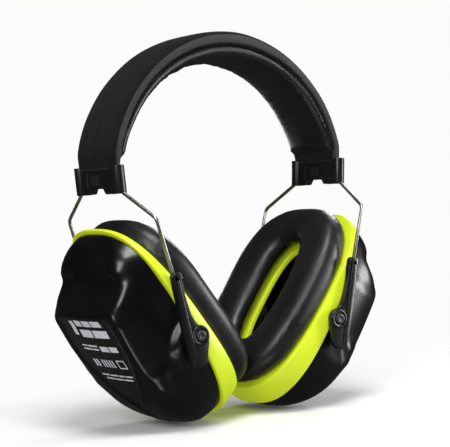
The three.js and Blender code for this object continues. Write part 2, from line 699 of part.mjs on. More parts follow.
function cushionGeometry() {
  const depth = CUSHION_DEPTH;
  const back = GAP + PLATE_THICKNESS + GAP;
  const rings = roundCup((angle) => {
    const inner = (grow) => outline(angle, 1, CUSHION_HOLE.x + grow, CUSHION_HOLE.y + grow);
    const outer = (scale) => cushionOutline(angle, scale);
    return [
      at(outer(CUSHION_EDGE), -GAP),
      at(outer((1 + CUSHION_EDGE) / 2), -GAP),
      at(outer(0.995), -0.35 * depth),
      at(outer(0.995), -0.62 * depth),
      at(outer(0.955), -0.85 * depth),
      at(outer(0.87), -depth),
      at(inner(7), -depth),
      at(inner(1.5), -0.85 * depth),
      at(inner(-CUSHION_OVERHANG), -0.56 * depth),
      at(inner(0), -EAR_LIP_HEIGHT - GAP),
      at(inner(0), -back),
      at(outer(CUSHION_EDGE), -back),
    ].map(clearOfMiddle);
  });
  return loft(rings, true);
}

// Outward height of the shell's domed outer face.
function faceHeight(wide, up) {
  const fromMiddle = up - FACE.middle;
  const past = Math.min(0, up - FACE.bottomStart);
  return FACE.height - FACE.along * fromMiddle ** 2 - FACE.across * wide ** 2 - FACE.bottom * past ** 2;
}

// Outward height of the shell's sloping top, with its lips and the dish between them.
function slopeHeight(wide, up) {
  const notch = SLOPE_NOTCH.depth * bump(up - SLOPE_NOTCH.up, SLOPE_NOTCH.reach);
  const bulge = SLOPE_BULGE.depth * bump(up - SLOPE_BULGE.up, SLOPE_BULGE.reach);
  const toe = SLOPE_TOE.curve * Math.max(up - SLOPE_TOE.start, 0) ** 2;
  const lip = SLOPE.outward - SLOPE.fall * (up - SLOPE.up) - notch + bulge + toe;
  const scoop = DISH.depth * smooth((up - DISH.start) / DISH.length);
  const ease = DISH.ease * smooth((up - DISH.easeStart) / DISH.easeLength);
  const middle = 1 - Math.min(wide / SLOPE.halfWidth, 1.2) ** 2;
  return lip + middle * (DISH.edge - scoop + ease);
}

// Above zero inside the pocket that is hollowed out of a side wall.
function pocketField(wide, up, outward) {
  const inner = POCKET.curve * Math.max(outward - POCKET.start, 0) ** 2;
  const toe = POCKET.toeCurve * Math.max(POCKET.toeStart - outward, 0) ** 2;
  const floor = wide - (POCKET.wide - inner + toe);
  const lean = POCKET_RIM.lean * (POCKET_RIM.wide - POCKET_RIM.follow * inner - wide);
  const endAt = POCKET_END.up + POCKET_END.rise * smooth((outward - POCKET_END.from) / POCKET_END.over);
  const lowAt = POCKET_LOW.outward - POCKET_LOW.drop * smooth((up - POCKET_LOW.from) / POCKET_LOW.over);
  const end = POCKET_RIM.stiffness * (up - endAt - lean);
  const low = POCKET_RIM.stiffness * (outward - lowAt - lean);
  return softMin(floor, softMin(end, low, POCKET_CORNER_BLEND), EDGE_BLEND);
}

// Below zero inside the shell's outer body, about a distance near its surface.
function shellField(across, up, outward) {
  const wide = Math.abs(across);
  const halfWidth = RING_HALF_WIDTH * (1 + (OUTLINE_EGG * up) / RING_HALF_HEIGHT);
  const powers = (wide / halfWidth) ** OUTLINE_POWER + (Math.abs(up) / RING_HALF_HEIGHT) ** OUTLINE_POWER;
  const rise = Math.max((outward - WALL.start) / WALL.height, 0);
  const lean = WALL.lean + WALL_LOW.lean * smooth((WALL_LOW.from - up) / WALL_LOW.over);
  const size = SHELL_SCALE - WALL.taper * rise - lean * rise ** 3;
  const wall = (powers ** (1 / OUTLINE_POWER) - size) * WALL.stiffness;
  const face = outward - faceHeight(wide, up);
  const slope = (outward - slopeHeight(wide, up)) * SLOPE.stiffness;
  const sharpen = (SHOULDER.bottom - SHOULDER.top) * smooth((up - SHOULDER.from) / SHOULDER.over);
  const body = softMax(softMax(wall, face, SHOULDER.bottom - sharpen), slope, SLOPE_BLEND);
  return softMax(body, pocketField(wide, up, outward), EDGE_BLEND);
}

// Point where a ray from the cup's middle leaves the shell, drawn back by `inset`. A climb of 0 runs
// along the ring's slanted top, and 90 degrees points straight out of the ear.
function shellPoint(angle, climb, inset) {
  const [across, up] = outline(angle, 1);
  const reach = Math.hypot(across, up);
  const ray = at([(Math.cos(climb) * across) / reach, (Math.cos(climb) * up) / reach], 0);
  ray.x = Math.sin(climb) - RING_WEDGE * ray.z;
  const start = RING_DEPTH + GAP;
  let near = 0;
  let far = 2 * RING_HALF_HEIGHT;
  for (let i = 0; i < 30; i++) {
    const middle = (near + far) / 2;
    if (shellField(ray.y * middle, ray.z * middle, start + ray.x * middle) < 0) near = middle;
    else far = middle;
  }
  return at([0, 0], start).addScaledVector(ray, near - inset);
}

const shellLevel = (climb, inset) => roundCup((angle) => shellPoint(angle, climb, inset));

function shellGeometry() {
  const outside = CLIMBS.map((climb) => shellLevel(climb, 0)).reverse();
  const inside = CLIMBS.map((climb) => shellLevel(climb, SHELL_WALL));
  return cut(loft([...outside, ...inside]), ...pinSockets());
}

function linerGeometry() {
  return loft(CLIMBS.slice(LINER_LEVEL).map((climb) => shellLevel(climb, SHELL_WALL + LINER_GAP)));
}

function cup(label) {
  const group = new THREE.Group();
  group.position.copy(CUP_CENTRE);
  group.rotation.y = CUP_TILT;
  group.add(piece(`${label}_shell`, shellGeometry(), materials.shell));
  group.add(piece(`${label}_base_ring`, ringGeometry(), materials.ring));
  group.add(piece(`${label}_cushion_plate`, plateGeometry(), materials.plate));
  group.add(piece(`${label}_ear_cushion`, cushionGeometry(), materials.cushion));
  group.add(piece(`${label}_foam_liner`, linerGeometry(), materials.foam));
  return group;
}

// ---------------------------------------------------------------- the whole earmuff

const group = new THREE.Group();
group.add(headband());
for (const [label, mirror] of [["left", -1], ["right", 1]]) {
  const side = new THREE.Group();
  side.scale.x = mirror;
  side.add(clip(label), arms(label), cup(label));
  group.add(side);
}

export default group;
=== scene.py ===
"""Looks of the earmuff hearing protector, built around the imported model.

Shapes are worked out in millimetres for the right side (+X), and mirrored for the left.
"""
import json
import math
from types import SimpleNamespace as Shape

import bpy
import numpy as np
from mathutils import Matrix, Vector, noise


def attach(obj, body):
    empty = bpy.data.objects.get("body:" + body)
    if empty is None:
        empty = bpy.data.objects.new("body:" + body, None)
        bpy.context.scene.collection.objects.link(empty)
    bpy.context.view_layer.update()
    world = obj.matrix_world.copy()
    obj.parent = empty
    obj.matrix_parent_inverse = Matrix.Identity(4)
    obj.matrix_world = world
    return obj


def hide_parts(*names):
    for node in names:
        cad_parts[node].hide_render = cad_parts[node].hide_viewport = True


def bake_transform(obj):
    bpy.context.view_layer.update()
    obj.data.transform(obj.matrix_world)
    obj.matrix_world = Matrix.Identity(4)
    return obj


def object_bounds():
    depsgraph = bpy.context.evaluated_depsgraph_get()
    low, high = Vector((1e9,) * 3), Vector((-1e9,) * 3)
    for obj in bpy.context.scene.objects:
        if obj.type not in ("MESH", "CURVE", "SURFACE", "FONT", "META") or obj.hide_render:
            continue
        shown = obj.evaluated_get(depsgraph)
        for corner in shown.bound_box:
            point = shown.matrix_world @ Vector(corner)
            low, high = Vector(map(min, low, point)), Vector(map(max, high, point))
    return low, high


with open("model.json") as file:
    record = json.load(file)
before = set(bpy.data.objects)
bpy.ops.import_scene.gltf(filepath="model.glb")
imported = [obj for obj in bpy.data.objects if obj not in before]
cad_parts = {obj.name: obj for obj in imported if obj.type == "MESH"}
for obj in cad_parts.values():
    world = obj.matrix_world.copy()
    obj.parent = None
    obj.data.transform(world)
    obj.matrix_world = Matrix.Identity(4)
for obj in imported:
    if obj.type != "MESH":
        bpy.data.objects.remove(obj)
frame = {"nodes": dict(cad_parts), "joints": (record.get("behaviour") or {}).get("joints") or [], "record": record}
CAD_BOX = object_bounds()

MM = 0.001

# ---- places taken from the frame

JOINTS = {joint["name"]: joint for joint in frame["joints"]}
MOUNTS = {mount["name"]: mount for mount in frame["record"]["mounts"]}


def in_mm(point):
    return np.array(point, float) / MM


LEG_UP = np.array(JOINTS["right_height_slide"]["axis"], float)
PIVOT = in_mm(JOINTS["right_cup_tilt"]["pos_m"])
CUP_OUT = -np.array(MOUNTS["right_cushion_face"]["axis"], float)
CUP_UP = np.array([-CUP_OUT[2], 0, CUP_OUT[0]])
ACROSS = np.array([0.0, 1.0, 0.0])
LEG_OUT = np.array([LEG_UP[2], 0, -LEG_UP[0]])

# ---- driving dimensions, millimetres

PIVOT_OUT, PIVOT_UP = 9.3, -4.9  # pivot in the cup's own frame
CUP_CENTRE = PIVOT - PIVOT_OUT * CUP_OUT - PIVOT_UP * CUP_UP
PIVOT_IN_ARM = (-4.2, -31.8)  # outward of the wire line, up from the arm's top
ARM_TOP = PIVOT - PIVOT_IN_ARM[0] * LEG_OUT - PIVOT_IN_ARM[1] * LEG_UP

ARCH_RADIUS = 72.9
CROWN_WIRE_Z = 8.7
ARCH_END_ANGLE = math.radians(74)
CLIP_CENTRE = np.array([71.0, 0.0, -62.0])
CLIP_LEAN = math.radians(4.3)
CLIP_UP = np.array([math.sin(CLIP_LEAN), 0, math.cos(CLIP_LEAN)])
CLIP_OUT = np.array([math.cos(CLIP_LEAN), 0, -math.sin(CLIP_LEAN)])
CLIP_HEIGHT = 14.0
CLIP_HALF_WIDTH = 21.0
CLIP_HALF_THICKNESS = 3.35
CLIP_PANEL_DEPTH = 1.0

WIRE_RADIUS = 0.95
WIRE_ARCH_Y = 15.8
WIRE_COLUMN_Y = 17.8
KINK = ARM_TOP + 30.0 * LEG_UP + 41.5 * ACROSS
WIRE_IN_ARM = 42.0

NECK_LENGTH = 9.0
SLEEVE_HALF_WIDTH, PAD_HALF_WIDTH = 18.5, 17.3
PAD_FULLER, PAD_THINNER = 2.3, 0.8  # at the crown, towards the clip
PAD_TUCKED, PAD_EDGE_DEPTH = 2.75, 3.4
WRINKLE_DEPTH = 0.55
STITCH_PITCH, STITCH_RADIUS = 1.55, 0.27

RING_HALF_WIDTH, RING_HALF_HEIGHT = 38.8, 56.1
OUTLINE_POWER, OUTLINE_EGG = 2.75, 0.04
RING_DEPTH, RING_WEDGE = 8.3, 0.1
EAR_HOLE = (15.0, 33.0)
EAR_LIP = 2.6
CUSHION_HOLE = (15.6, 34.0)
CUSHION_DEPTH = 15.0
CUSHION_HALF_HEIGHT, CUSHION_DROP = 54.6, 1.4
SHELL_WALL = 2.4
SHELL_BASE = RING_DEPTH + 0.3
INK_FILM = 0.06
MIDDLE_GAP = 0.35
PUFF_VOXEL, PUFF_PRESSURE, PUFF_CAP, PUFF_HELD_DEPTH = 2.2, 4.0, 1.2, 3.2

# Shell: heights over the ring's base plane, and places up and down or across the cup
FACE = Shape(height=40.7, crown=-13, fall_up=0.0023, fall_wide=0.0016, toe=-24, toe_fall=0.0105)
PANEL = Shape(half_width=24.0, shoulder=10, length=39, top=29, depth=0.6, bead=0.5, bead_reach=2.2)
WALL = Shape(scale=0.985, full=36, draft=0.015, lean=0.10, low_lean=0.09, low=-5, over=15)
SLOPE = Shape(start=30, height=34.5, steep=1.35, toe=44, toe_curve=0.075, flatten=0.6)
NOTCH = Shape(up=38, reach=6.5, depth=1.5)
BULGE = Shape(up=48, reach=11, middle=5.0, edge=2.5)
LIPS = Shape(wide=8, over=14)
DISH = Shape(half_width=30.0, start=3.7, drop=8.0, at=29, over=9, rise=2.6, end=42, end_over=13)
POCKET = Shape(wide=33.6, start=17.5, curve=0.0115, foot=20, foot_curve=0.02, fade=3.0)
POCKET_RIM = Shape(wide=36.5, follow=0.8, lean=0.9, stiffness=0.75)
POCKET_END = Shape(up=-16.5, rise=3.5, at=31, over=8)
POCKET_LOW = Shape(height=21.2, drop=34, at=-5, over=26)
BLEND = Shape(shoulder=6.0, slope=2.4, pocket_floor=2.2, pocket_ends=8.0, pocket_rim=1.8)

# ---- numeric helpers


def smoothstep(t):
    t = np.clip(t, 0.0, 1.0)
    return t * t * (3 - 2 * t)


def ramp(x, start, over):
    """Rises from 0 at start to 1 at start + over, which lies below start where over is negative."""
    return smoothstep((x - start) / over)


def bump(distance, reach):
    t = np.minimum(np.abs(distance) / reach, 1.0)
    return (1 - t * t) ** 2


def soft_min(a, b, blend):
    mix = np.clip(0.5 + 0.5 * (b - a) / blend, 0, 1)
    return b + (a - b) * mix - blend * mix * (1 - mix)


def soft_max(a, b, blend):
    return -soft_min(-a, -b, blend)


def unit(v):
    return v / np.linalg.norm(v)


def curve_points(a, b, c, steps=8):
    """Points of the curve from a to c that is drawn towards b."""
    a, b, c = (np.array(p, float) for p in (a, b, c))
    return [(1 - t) ** 2 * a + 2 * t * (1 - t) * b + t * t * c for t in np.linspace(0, 1, steps)]


def arc_points(cx, cz, radius, start, end, steps):
    """Points of a circular arc between two angles in degrees."""
    angles = np.radians(np.linspace(start, end, steps))
    return [(cx + radius * math.cos(a), cz + radius * math.sin(a)) for a in angles]


def corner_arc(before, corner, after, reach, steps):
    """Points of the round bend that takes a corner's place."""
    near = corner + unit(before - corner) * min(reach, 0.45 * np.linalg.norm(before - corner))
    far = corner + unit(after - corner) * min(reach, 0.45 * np.linalg.norm(after - corner))
    return curve_points(near, corner, far, steps)


# ---- meshes


def loft(rings, loop=False):
    """Vertices and faces of a closed body through rings of points. A loop joins last ring to first."""
    vertices = np.vstack([np.asarray(ring, float) for ring in rings])
    around = len(rings[0])
    last = (len(rings) - 1) * around
    faces = []
    for near in range(0, last + around if loop else last, around):
        far = (near + around) % len(vertices)
        for j in range(around):
            k = (j + 1) % around
            faces.append((near + j, near + k, far + k, far + j))
    if not loop:
        faces.append(tuple(reversed(range(around))))
        faces.append(tuple(range(last, last + around)))
    return vertices, faces


def signed_volume(vertices, faces):
    total = 0.0
    for face in faces:
        a = vertices[face[0]]
        for i in range(1, len(face) - 1):
            total += np.dot(a, np.cross(vertices[face[i]], vertices[face[i + 1]]))
    return total


def joined(*bodies):
    vertices, faces, start = [], [], 0
    for body_vertices, body_faces in bodies:
        vertices.append(body_vertices)
        faces += [tuple(i + start for i in face) for face in body_faces]
        start += len(body_vertices)
    return np.vstack(vertices), faces


def facing_out(body):
    vertices, faces = body
    if signed_volume(vertices, faces) < 0:
        faces = [tuple(reversed(face)) for face in faces]
    return vertices, faces


def side_name(side):
    return "left" if side < 0 else "right"


def mesh_object(name, body, side, material, sharp_angle=None):
    """A Blender object from a body in millimetres. side -1 mirrors it to the left. Angle in degrees."""
    vertices, faces = body
    if side < 0:
        vertices = vertices * np.array([-1.0, 1.0, 1.0])
        faces = [tuple(reversed(face)) for face in faces]
    mesh = bpy.data.meshes.new(name)
    mesh.from_pydata((vertices * MM).tolist(), [], faces)
    mesh.update()
    mesh.polygons.foreach_set("use_smooth", [True] * len(mesh.polygons))
    mesh.materials.append(material)
    piece = bpy.data.objects.new(name, mesh)
    bpy.context.scene.collection.objects.link(piece)
    if sharp_angle is not None:
        mesh.set_sharp_from_angle(angle=math.radians(sharp_angle))
    return piece


def make_piece(side, part, body, material, sharp_angle=None):
    """One named piece of a side, with its faces turned outwards."""
    return mesh_object(f"{side_name(side)}_{part}", facing_out(body), side, MATERIALS[material], sharp_angle)


def on_body(piece, side, body, node):
    """A piece that takes a CAD node's place and moves with one body of its side."""
    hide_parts(f"{side_name(side)}_{node}")
    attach(piece, f"{side_name(side)}_{body}")


def add_uv(piece, along_across):
    """A UV map in metres, one (along, across) pair per vertex."""
    layer = piece.data.uv_layers.new(name="weave")
    loops = np.zeros(len(piece.data.loops), np.int32)
    piece.data.loops.foreach_get("vertex_index", loops)
    uv = np.asarray(along_across, float)[loops] * MM
    layer.data.foreach_set("uv", uv.astype(np.float32).ravel())


def apply_modifiers(piece):
    graph = bpy.context.evaluated_depsgraph_get()
    mesh = bpy.data.meshes.new_from_object(piece.evaluated_get(graph))
    piece.modifiers.clear()
    piece.data = mesh


def subdivide(piece):
    modifier = piece.modifiers.new("subdivide", "SUBSURF")
    modifier.levels = modifier.render_levels = 1
    apply_modifiers(piece)


# ---- material nodes


class Nodes:
    """A small helper that writes the node tree of the world or of a material."""

    def __init__(self, owner):
        owner.use_nodes = True
        self.tree = owner.node_tree

    def feed(self, socket, value):
        """Gives an input a constant, or links another node's output to it."""
        if isinstance(value, bpy.types.NodeSocket):
            self.tree.links.new(value, socket)
        elif socket.type == "RGBA":
            socket.default_value = (*value, 1.0)
        else:
            socket.default_value = value

    def add(self, kind, inputs=None, **settings):
        node = self.tree.nodes.new(kind)
        for key, value in settings.items():
            setattr(node, key, value)
        for key, value in (inputs or {}).items():
            self.feed(node.inputs[key], value)
        return node

    def math(self, operation, *values):
        return self.add("ShaderNodeMath", dict(enumerate(values)), operation=operation).outputs[0]

    def spread(self, value, low, high, from_low=0.3, from_high=0.7):
        inputs = {"Value": value, "From Min": from_low, "From Max": from_high, "To Min": low, "To Max": high}
        return self.add("ShaderNodeMapRange", inputs).outputs["Result"]

    def mix(self, amount, a, b):
        inputs = {"Factor": amount, "A": a, "B": b}
        return self.add("ShaderNodeMix", inputs, data_type="RGBA").outputs["Result"]


class MaterialNodes(Nodes):
    def __init__(self, name):
        self.material = bpy.data.materials.new(name)
        super().__init__(self.material)
        self.shader = self.tree.nodes["Principled BSDF"]
        self.place = self.add("ShaderNodeTexCoord").outputs["Object"]

    def noise(self, scale, detail, roughness):
        inputs = {"Scale": scale, "Detail": detail, "Roughness": roughness, "Vector": self.place}
        return self.add("ShaderNodeTexNoise", inputs).outputs["Fac"]

    def cells(self, scale, feature="F1"):
        inputs = {"Scale": scale, "Vector": self.place}
        return self.add("ShaderNodeTexVoronoi", inputs, feature=feature).outputs["Distance"]

    def waves(self, scale, place, direction, distortion):
        inputs = {"Scale": scale, "Distortion": distortion, "Vector": place}
        return self.add("ShaderNodeTexWave", inputs, bands_direction=direction).outputs["Fac"]

    def bump(self, height, distance, strength=1.0, under=None):
        inputs = {"Height": height, "Distance": distance * MM, "Strength": strength}
        if under is not None:
            inputs["Normal"] = under
        return self.add("ShaderNodeBump", inputs).outputs["Normal"]

    def set(self, **values):
        """Inputs of the material's shader, by name."""
        for name, value in values.items():
            self.feed(self.shader.inputs[name.replace("_", " ")], value)


def textile_material():
    """Black plain-woven cover, a little warm, with a matt fuzz."""
    nodes = MaterialNodes("sleeve_textile")
    uv = nodes.add("ShaderNodeUVMap", uv_map="weave").outputs["UV"]
    warp = nodes.waves(620, uv, "X", 1.2)
    weft = nodes.waves(620, uv, "Y", 1.2)
    weave = nodes.math("MULTIPLY", warp, weft)
    mottle = nodes.noise(160, 5, 0.65)
    patch = nodes.noise(38, 3, 0.6)
    speckle = nodes.spread(mottle, 0, 1, 0.35, 0.65)
    base = nodes.mix(speckle, (0.0032, 0.0028, 0.0030), (0.0100, 0.0084, 0.0086))
    tint = nodes.mix(nodes.spread(patch, 0, 0.6), base, (0.0115, 0.0096, 0.0098))
    thread = nodes.mix(nodes.spread(weave, 0, 0.55, 0.1, 0.6), tint, (0.017, 0.0148, 0.0152))
    nodes.set(Base_Color=thread)
    nodes.set(Roughness=nodes.spread(mottle, 0.82, 0.98))
    nodes.set(Normal=nodes.bump(weave, 0.22, 0.9, nodes.bump(mottle, 0.25, 0.5)))
    nodes.set(Sheen_Weight=0.03, Sheen_Roughness=0.5, Specular_IOR_Level=0.12)
    return nodes.material


def ribbed_material():
    """Lighter ribbed binding along the sleeve's edges."""
    nodes = MaterialNodes("sleeve_binding")
    uv = nodes.add("ShaderNodeUVMap", uv_map="weave").outputs["UV"]
    ribs = nodes.waves(560, uv, "DIAGONAL", 0.8)
    grain = nodes.noise(900, 4, 0.6)
    patch = nodes.noise(60, 3, 0.6)
    amount = nodes.math("MULTIPLY", nodes.spread(ribs, 0, 1, 0.15, 0.9), nodes.spread(patch, 0.55, 1.0))
    base = nodes.mix(amount, (0.018, 0.017, 0.0185), (0.105, 0.103, 0.112))
    nodes.set(Base_Color=nodes.mix(nodes.spread(grain, 0, 0.4), base, (0.02, 0.019, 0.021)))
    nodes.set(Roughness=nodes.spread(grain, 0.7, 0.95))
    nodes.set(Normal=nodes.bump(ribs, 0.35, 0.9, nodes.bump(grain, 0.12, 0.6)))
    nodes.set(Sheen_Weight=0.12, Sheen_Roughness=0.4, Specular_IOR_Level=0.3)
    return nodes.material


def leatherette_material(name, rough, wrinkle):
    """Smooth black leatherette: fine grain, faint wrinkles, satin sheen."""
    nodes = MaterialNodes(name)
    grain = nodes.cells(1500, "DISTANCE_TO_EDGE")
    pores = nodes.noise(2600, 2, 0.5)
    cloud = nodes.noise(45, 4, 0.55)
    base = nodes.mix(nodes.spread(cloud, 0, 1), (0.0072, 0.0072, 0.0084), (0.0135, 0.0132, 0.0148))
    nodes.set(Base_Color=base)
    nodes.set(Roughness=nodes.spread(cloud, rough - 0.04, rough + 0.07))
    fine = nodes.bump(nodes.spread(grain, 0, 1, 0.0, 0.06), 0.035, 0.5, nodes.bump(pores, 0.02, 0.35))
    nodes.set(Normal=nodes.bump(cloud, wrinkle, 0.35, fine))
    nodes.set(Specular_IOR_Level=0.5, Coat_Weight=0.12, Coat_Roughness=0.3)
    return nodes.material


def plastic_material(name, dark, light, rough, texture, scale, coat, wear):
    """Moulded plastic: a faint spark-eroded texture, slight patchiness and rubbed edges."""
    nodes = MaterialNodes(name)
    grain = nodes.noise(scale, 3, 0.55)
    cloud = nodes.noise(30, 4, 0.6)
    base = nodes.mix(nodes.spread(cloud, 0, 1), dark, light)
    if wear > 0:
        edge = nodes.add("ShaderNodeNewGeometry").outputs["Pointiness"]
        sharp = nodes.spread(edge, 0, wear, 0.53, 0.62)
        rubbed = nodes.math("MULTIPLY", sharp, nodes.spread(cloud, 0.3, 1.0))
        worn = tuple(min(1.0, c + 0.06) for c in light)
        base = nodes.mix(rubbed, base, worn)
    nodes.set(Base_Color=base)
    nodes.set(Roughness=nodes.spread(cloud, rough * 0.85, rough * 1.2))
    nodes.set(Normal=nodes.bump(grain, texture, 0.5))
    nodes.set(Coat_Weight=coat, Coat_Roughness=0.06)
    return nodes.material


def ring_material():
    """Fluorescent yellow-green plastic with a satin surface and a painted glow: an emission that brightens it
    beyond its lighting.
    """
    nodes = MaterialNodes("ring_plastic")
    cloud = nodes.noise(26, 3, 0.5)
    grain = nodes.noise(1200, 2, 0.5)
    nodes.set(Base_Color=nodes.mix(nodes.spread(cloud, 0, 1), (0.60, 0.76, 0.016), (0.68, 0.83, 0.026)))
    nodes.set(Roughness=nodes.spread(cloud, 0.28, 0.38))
    nodes.set(Normal=nodes.bump(grain, 0.015, 0.4))
    nodes.set(Subsurface_Weight=0.15, Subsurface_Scale=0.003)
    # Painted glow: an emission that makes the ring shine though it is no lamp
    nodes.set(Emission_Color=(0.85, 1.0, 0.03), Emission_Strength=0.16)
    return nodes.material


def steel_material():
    """Drawn spring wire: bright, with fine lines and dull spots."""
    nodes = MaterialNodes("spring_steel")
    lines = nodes.noise(700, 4, 0.7)
    cloud = nodes.noise(90, 3, 0.6)
    nodes.set(Base_Color=nodes.mix(nodes.spread(cloud, 0, 1), (0.36, 0.35, 0.33), (0.60, 0.585, 0.55)))
    nodes.set(Roughness=nodes.spread(lines, 0.28, 0.46))
    nodes.set(Normal=nodes.bump(lines, 0.012, 0.6))
    nodes.set(Metallic=1.0)
    return nodes.material


def foam_material():
    """Dark open-cell foam."""
    nodes = MaterialNodes("foam")
    cells = nodes.cells(900)
    cloud = nodes.noise(120, 4, 0.6)
    depth = nodes.spread(cells, 0, 1, 0.05, 0.5)
    nodes.set(Base_Color=nodes.mix(depth, (0.035, 0.035, 0.037), (0.010, 0.010, 0.011)))
    nodes.set(Roughness=nodes.spread(cloud, 0.9, 1.0))
    nodes.set(Normal=nodes.bump(cells, 0.7, 0.9))
    return nodes.material


def ink_material():
    """White pad-printed ink, thin and slightly uneven."""
    nodes = MaterialNodes("label_ink")
    film = nodes.noise(420, 4, 0.65)
    speck = nodes.noise(1500, 2, 0.5)
    worn = nodes.math("MULTIPLY", nodes.spread(film, 0, 0.5, 0.5, 0.75), nodes.spread(speck, 0.3, 1.0))
    nodes.set(Base_Color=nodes.mix(worn, (0.88, 0.90, 0.94), (0.16, 0.16, 0.17)))
    nodes.set(Roughness=nodes.spread(film, 0.4, 0.6))
    nodes.set(Normal=nodes.bump(speck, 0.01, 0.4))
    return nodes.material


PLASTICS = {  # dark, light, roughness, depth and scale of the texture, coat, wear
    "clip": ((0.006, 0.006, 0.0065), (0.011, 0.011, 0.012), 0.3, 0.03, 1100, 0.0, 0.4),
    "arm": ((0.005, 0.005, 0.0055), (0.009, 0.009, 0.010), 0.24, 0.02, 900, 0.0, 0.3),
    "shell": ((0.0026, 0.0026, 0.003), (0.0042, 0.0042, 0.0048), 0.26, 0.004, 500, 0.06, 0.0),
    "pin": ((0.02, 0.02, 0.021), (0.035, 0.035, 0.037), 0.28, 0.01, 900, 0.0, 0.5),
    "plate": ((0.008, 0.008, 0.009), (0.014, 0.014, 0.015), 0.45, 0.03, 800, 0.0, 0.0),
}
MATERIALS = {name: plastic_material(f"{name}_plastic", *look) for name, look in PLASTICS.items()}
MATERIALS |= {
    "ink": ink_material(),
    "textile": textile_material(),
    "binding": ribbed_material(),
    "pad": leatherette_material("pad_leatherette", 0.33, 0.9),
    "cushion": leatherette_material("cushion_leatherette", 0.36, 0.5),
    "ring": ring_material(),
    "steel": steel_material(),
    "foam": foam_material(),
}

# ---- headband


def bezier(a, b, c, d, t):
    s = 1 - t
    point = s**3 * a + 3 * s * s * t * b + 3 * s * t * t * c + t**3 * d
    slope = 3 * s * s * (b - a) + 6 * s * t * (c - b) + 3 * t * t * (d - c)
    return point, unit(slope)


def band_stations(arc_steps, tail_steps, end_shift):
    """The wire line from the crown to end_shift above the clip's top: (point, outward, distance along)."""
    centre_z = CROWN_WIRE_Z - ARCH_RADIUS
    top = CLIP_CENTRE + CLIP_UP * (CLIP_HEIGHT / 2 + end_shift)
    found = []
    for i in [0, 0.02] + list(range(1, arc_steps + 1)):
        angle = ARCH_END_ANGLE * i / arc_steps
        point = np.array([ARCH_RADIUS * math.sin(angle), 0, centre_z + ARCH_RADIUS * math.cos(angle)])
        found.append((point, np.array([math.cos(angle), 0, -math.sin(angle)])))
    start, along = found[-1]
    reach = np.linalg.norm(start - top) / 3
    for i in range(1, tail_steps + 1):
        found.append(bezier(start, start + along * reach, top + CLIP_UP * reach, top, i / tail_steps))
    stations, distance, before = [], 0.0, found[0][0]
    for point, along in found:
        distance += np.linalg.norm(point - before)
        before = point
        stations.append((point, np.array([-along[2], 0, along[0]]), distance))
    return stations


BAND = band_stations(150, 70, -1.5)
BAND_LENGTH = BAND[-1][2]


def neck(distance):
    """How far the band has narrowed into the clip: 0 on the arch, 1 inside the clip."""
    return ramp(distance, BAND_LENGTH - NECK_LENGTH, 8.0)


def bent_section(section, side):
    """Rings of section(distance, signed distance) over half the band, with (along, across) for each point."""
    rings, uv = [], []
    for point, out, distance in BAND:
        outline = np.asarray(section(distance, side * distance), float)
        rings.append(point + outline[:, :1] * ACROSS + outline[:, 1:2] * out)
        across = np.concatenate([[0], np.cumsum(np.linalg.norm(np.diff(outline[:, :2], axis=0), axis=1))])
        uv += [(side * distance, a) for a in across]
    return rings, uv


def round_section(points, steps):
    """A closed smooth curve through the points, as `steps` points for each span."""
    p = np.asarray(points, float)
    count = len(p)
    out = []
    for i in range(count):
        a, b, c, d = (p[(i + k - 1) % count] for k in range(4))
        for j in range(steps):
            t = j / steps
            square, cube = 2 * a - 5 * b + 4 * c - d, 3 * b - a - 3 * c + d
            out.append(0.5 * (2 * b + (c - a) * t + square * t * t + cube * t**3))
    return np.array(out)


def mirror_across(half):
    """A full outline from its half with across >= 0, both written clockwise."""
    half = np.asarray(half, float)
    other = half[::-1] * np.array([-1.0, 1.0])
    keep = [p for p in other if abs(p[0]) > 1e-6]
    return np.vstack([half, keep])


def ripple(distance, across, seed, scale):
    return noise.noise(Vector((distance * scale, across * scale, seed)))


def sleeve_section(distance, signed):
    """Woven cover: outer face, rounded edges, ribbed side and a turned-in hem."""
    n = neck(distance)
    slack = 0.3 * ripple(signed, 0, 3.1, 0.05)
    w = SLEEVE_HALF_WIDTH - 0.9 * n
    loft_up = 1.1 * smoothstep(1 - distance / (0.62 * BAND_LENGTH))
    out = 3.1 - 0.95 * n + slack * (1 - n) + loft_up
    low = 3.0 - 0.4 * n
    half = [
        (0.0, out + 0.25), (4.5, out + 0.225), (9.0, out + 0.15), (13.0, out - 0.06), (15.7, out - 0.5),
        (17.3, out - 1.25), (w - 0.35, out - 2.2), (w, 0.1), (w + 0.05, -0.8), (w - 0.1, -low + 1.0),
        (w - 0.7, -low + 0.35), (w - 1.5, -low), (w - 2.2, -low + 0.7), (w - 2.4, -0.6),
        (12.0, 1.2), (0.0, 1.3),
    ]
    return round_section(mirror_across(half), 2)


def pad_depth(distance, signed, across):
    """How far the pad's underside hangs below the wire line."""
    share = distance / BAND_LENGTH
    depth = CROWN_WIRE_Z - PAD_THINNER * ramp(share, 0.7, 0.3)
    depth += PAD_FULLER * smoothstep(1 - share / 0.95)
    n = neck(distance)
    side = min(abs(across) / 17.0, 1.0)
    crown = depth - 1.0 * side**4
    pull = ramp(distance, BAND_LENGTH - 9.5 - 2.5 * (1 - side**2), 8.0)
    fold = math.sin(signed * 0.62 + 5.0 * ripple(signed, across, 9.0, 0.045) + 0.05 * across)
    fold += 0.5 * math.sin(signed * 1.35 + 4.0 * ripple(signed, across, 19.0, 0.08) - 0.04 * across)
    strength = 0.25 + 0.75 * (0.5 + 0.5 * math.tanh(3.0 * ripple(signed, across, 27.0, 0.035)))
    wrinkle = WRINKLE_DEPTH * strength * math.exp(-((share / 0.62) ** 2)) * fold
    wrinkle *= 1 - side**6
    soft = 0.4 * ripple(signed, across, 5.0, 0.06)
    bulk = crown - wrinkle - soft
    return (1 - max(pull, n)) * bulk + max(pull, n) * PAD_TUCKED


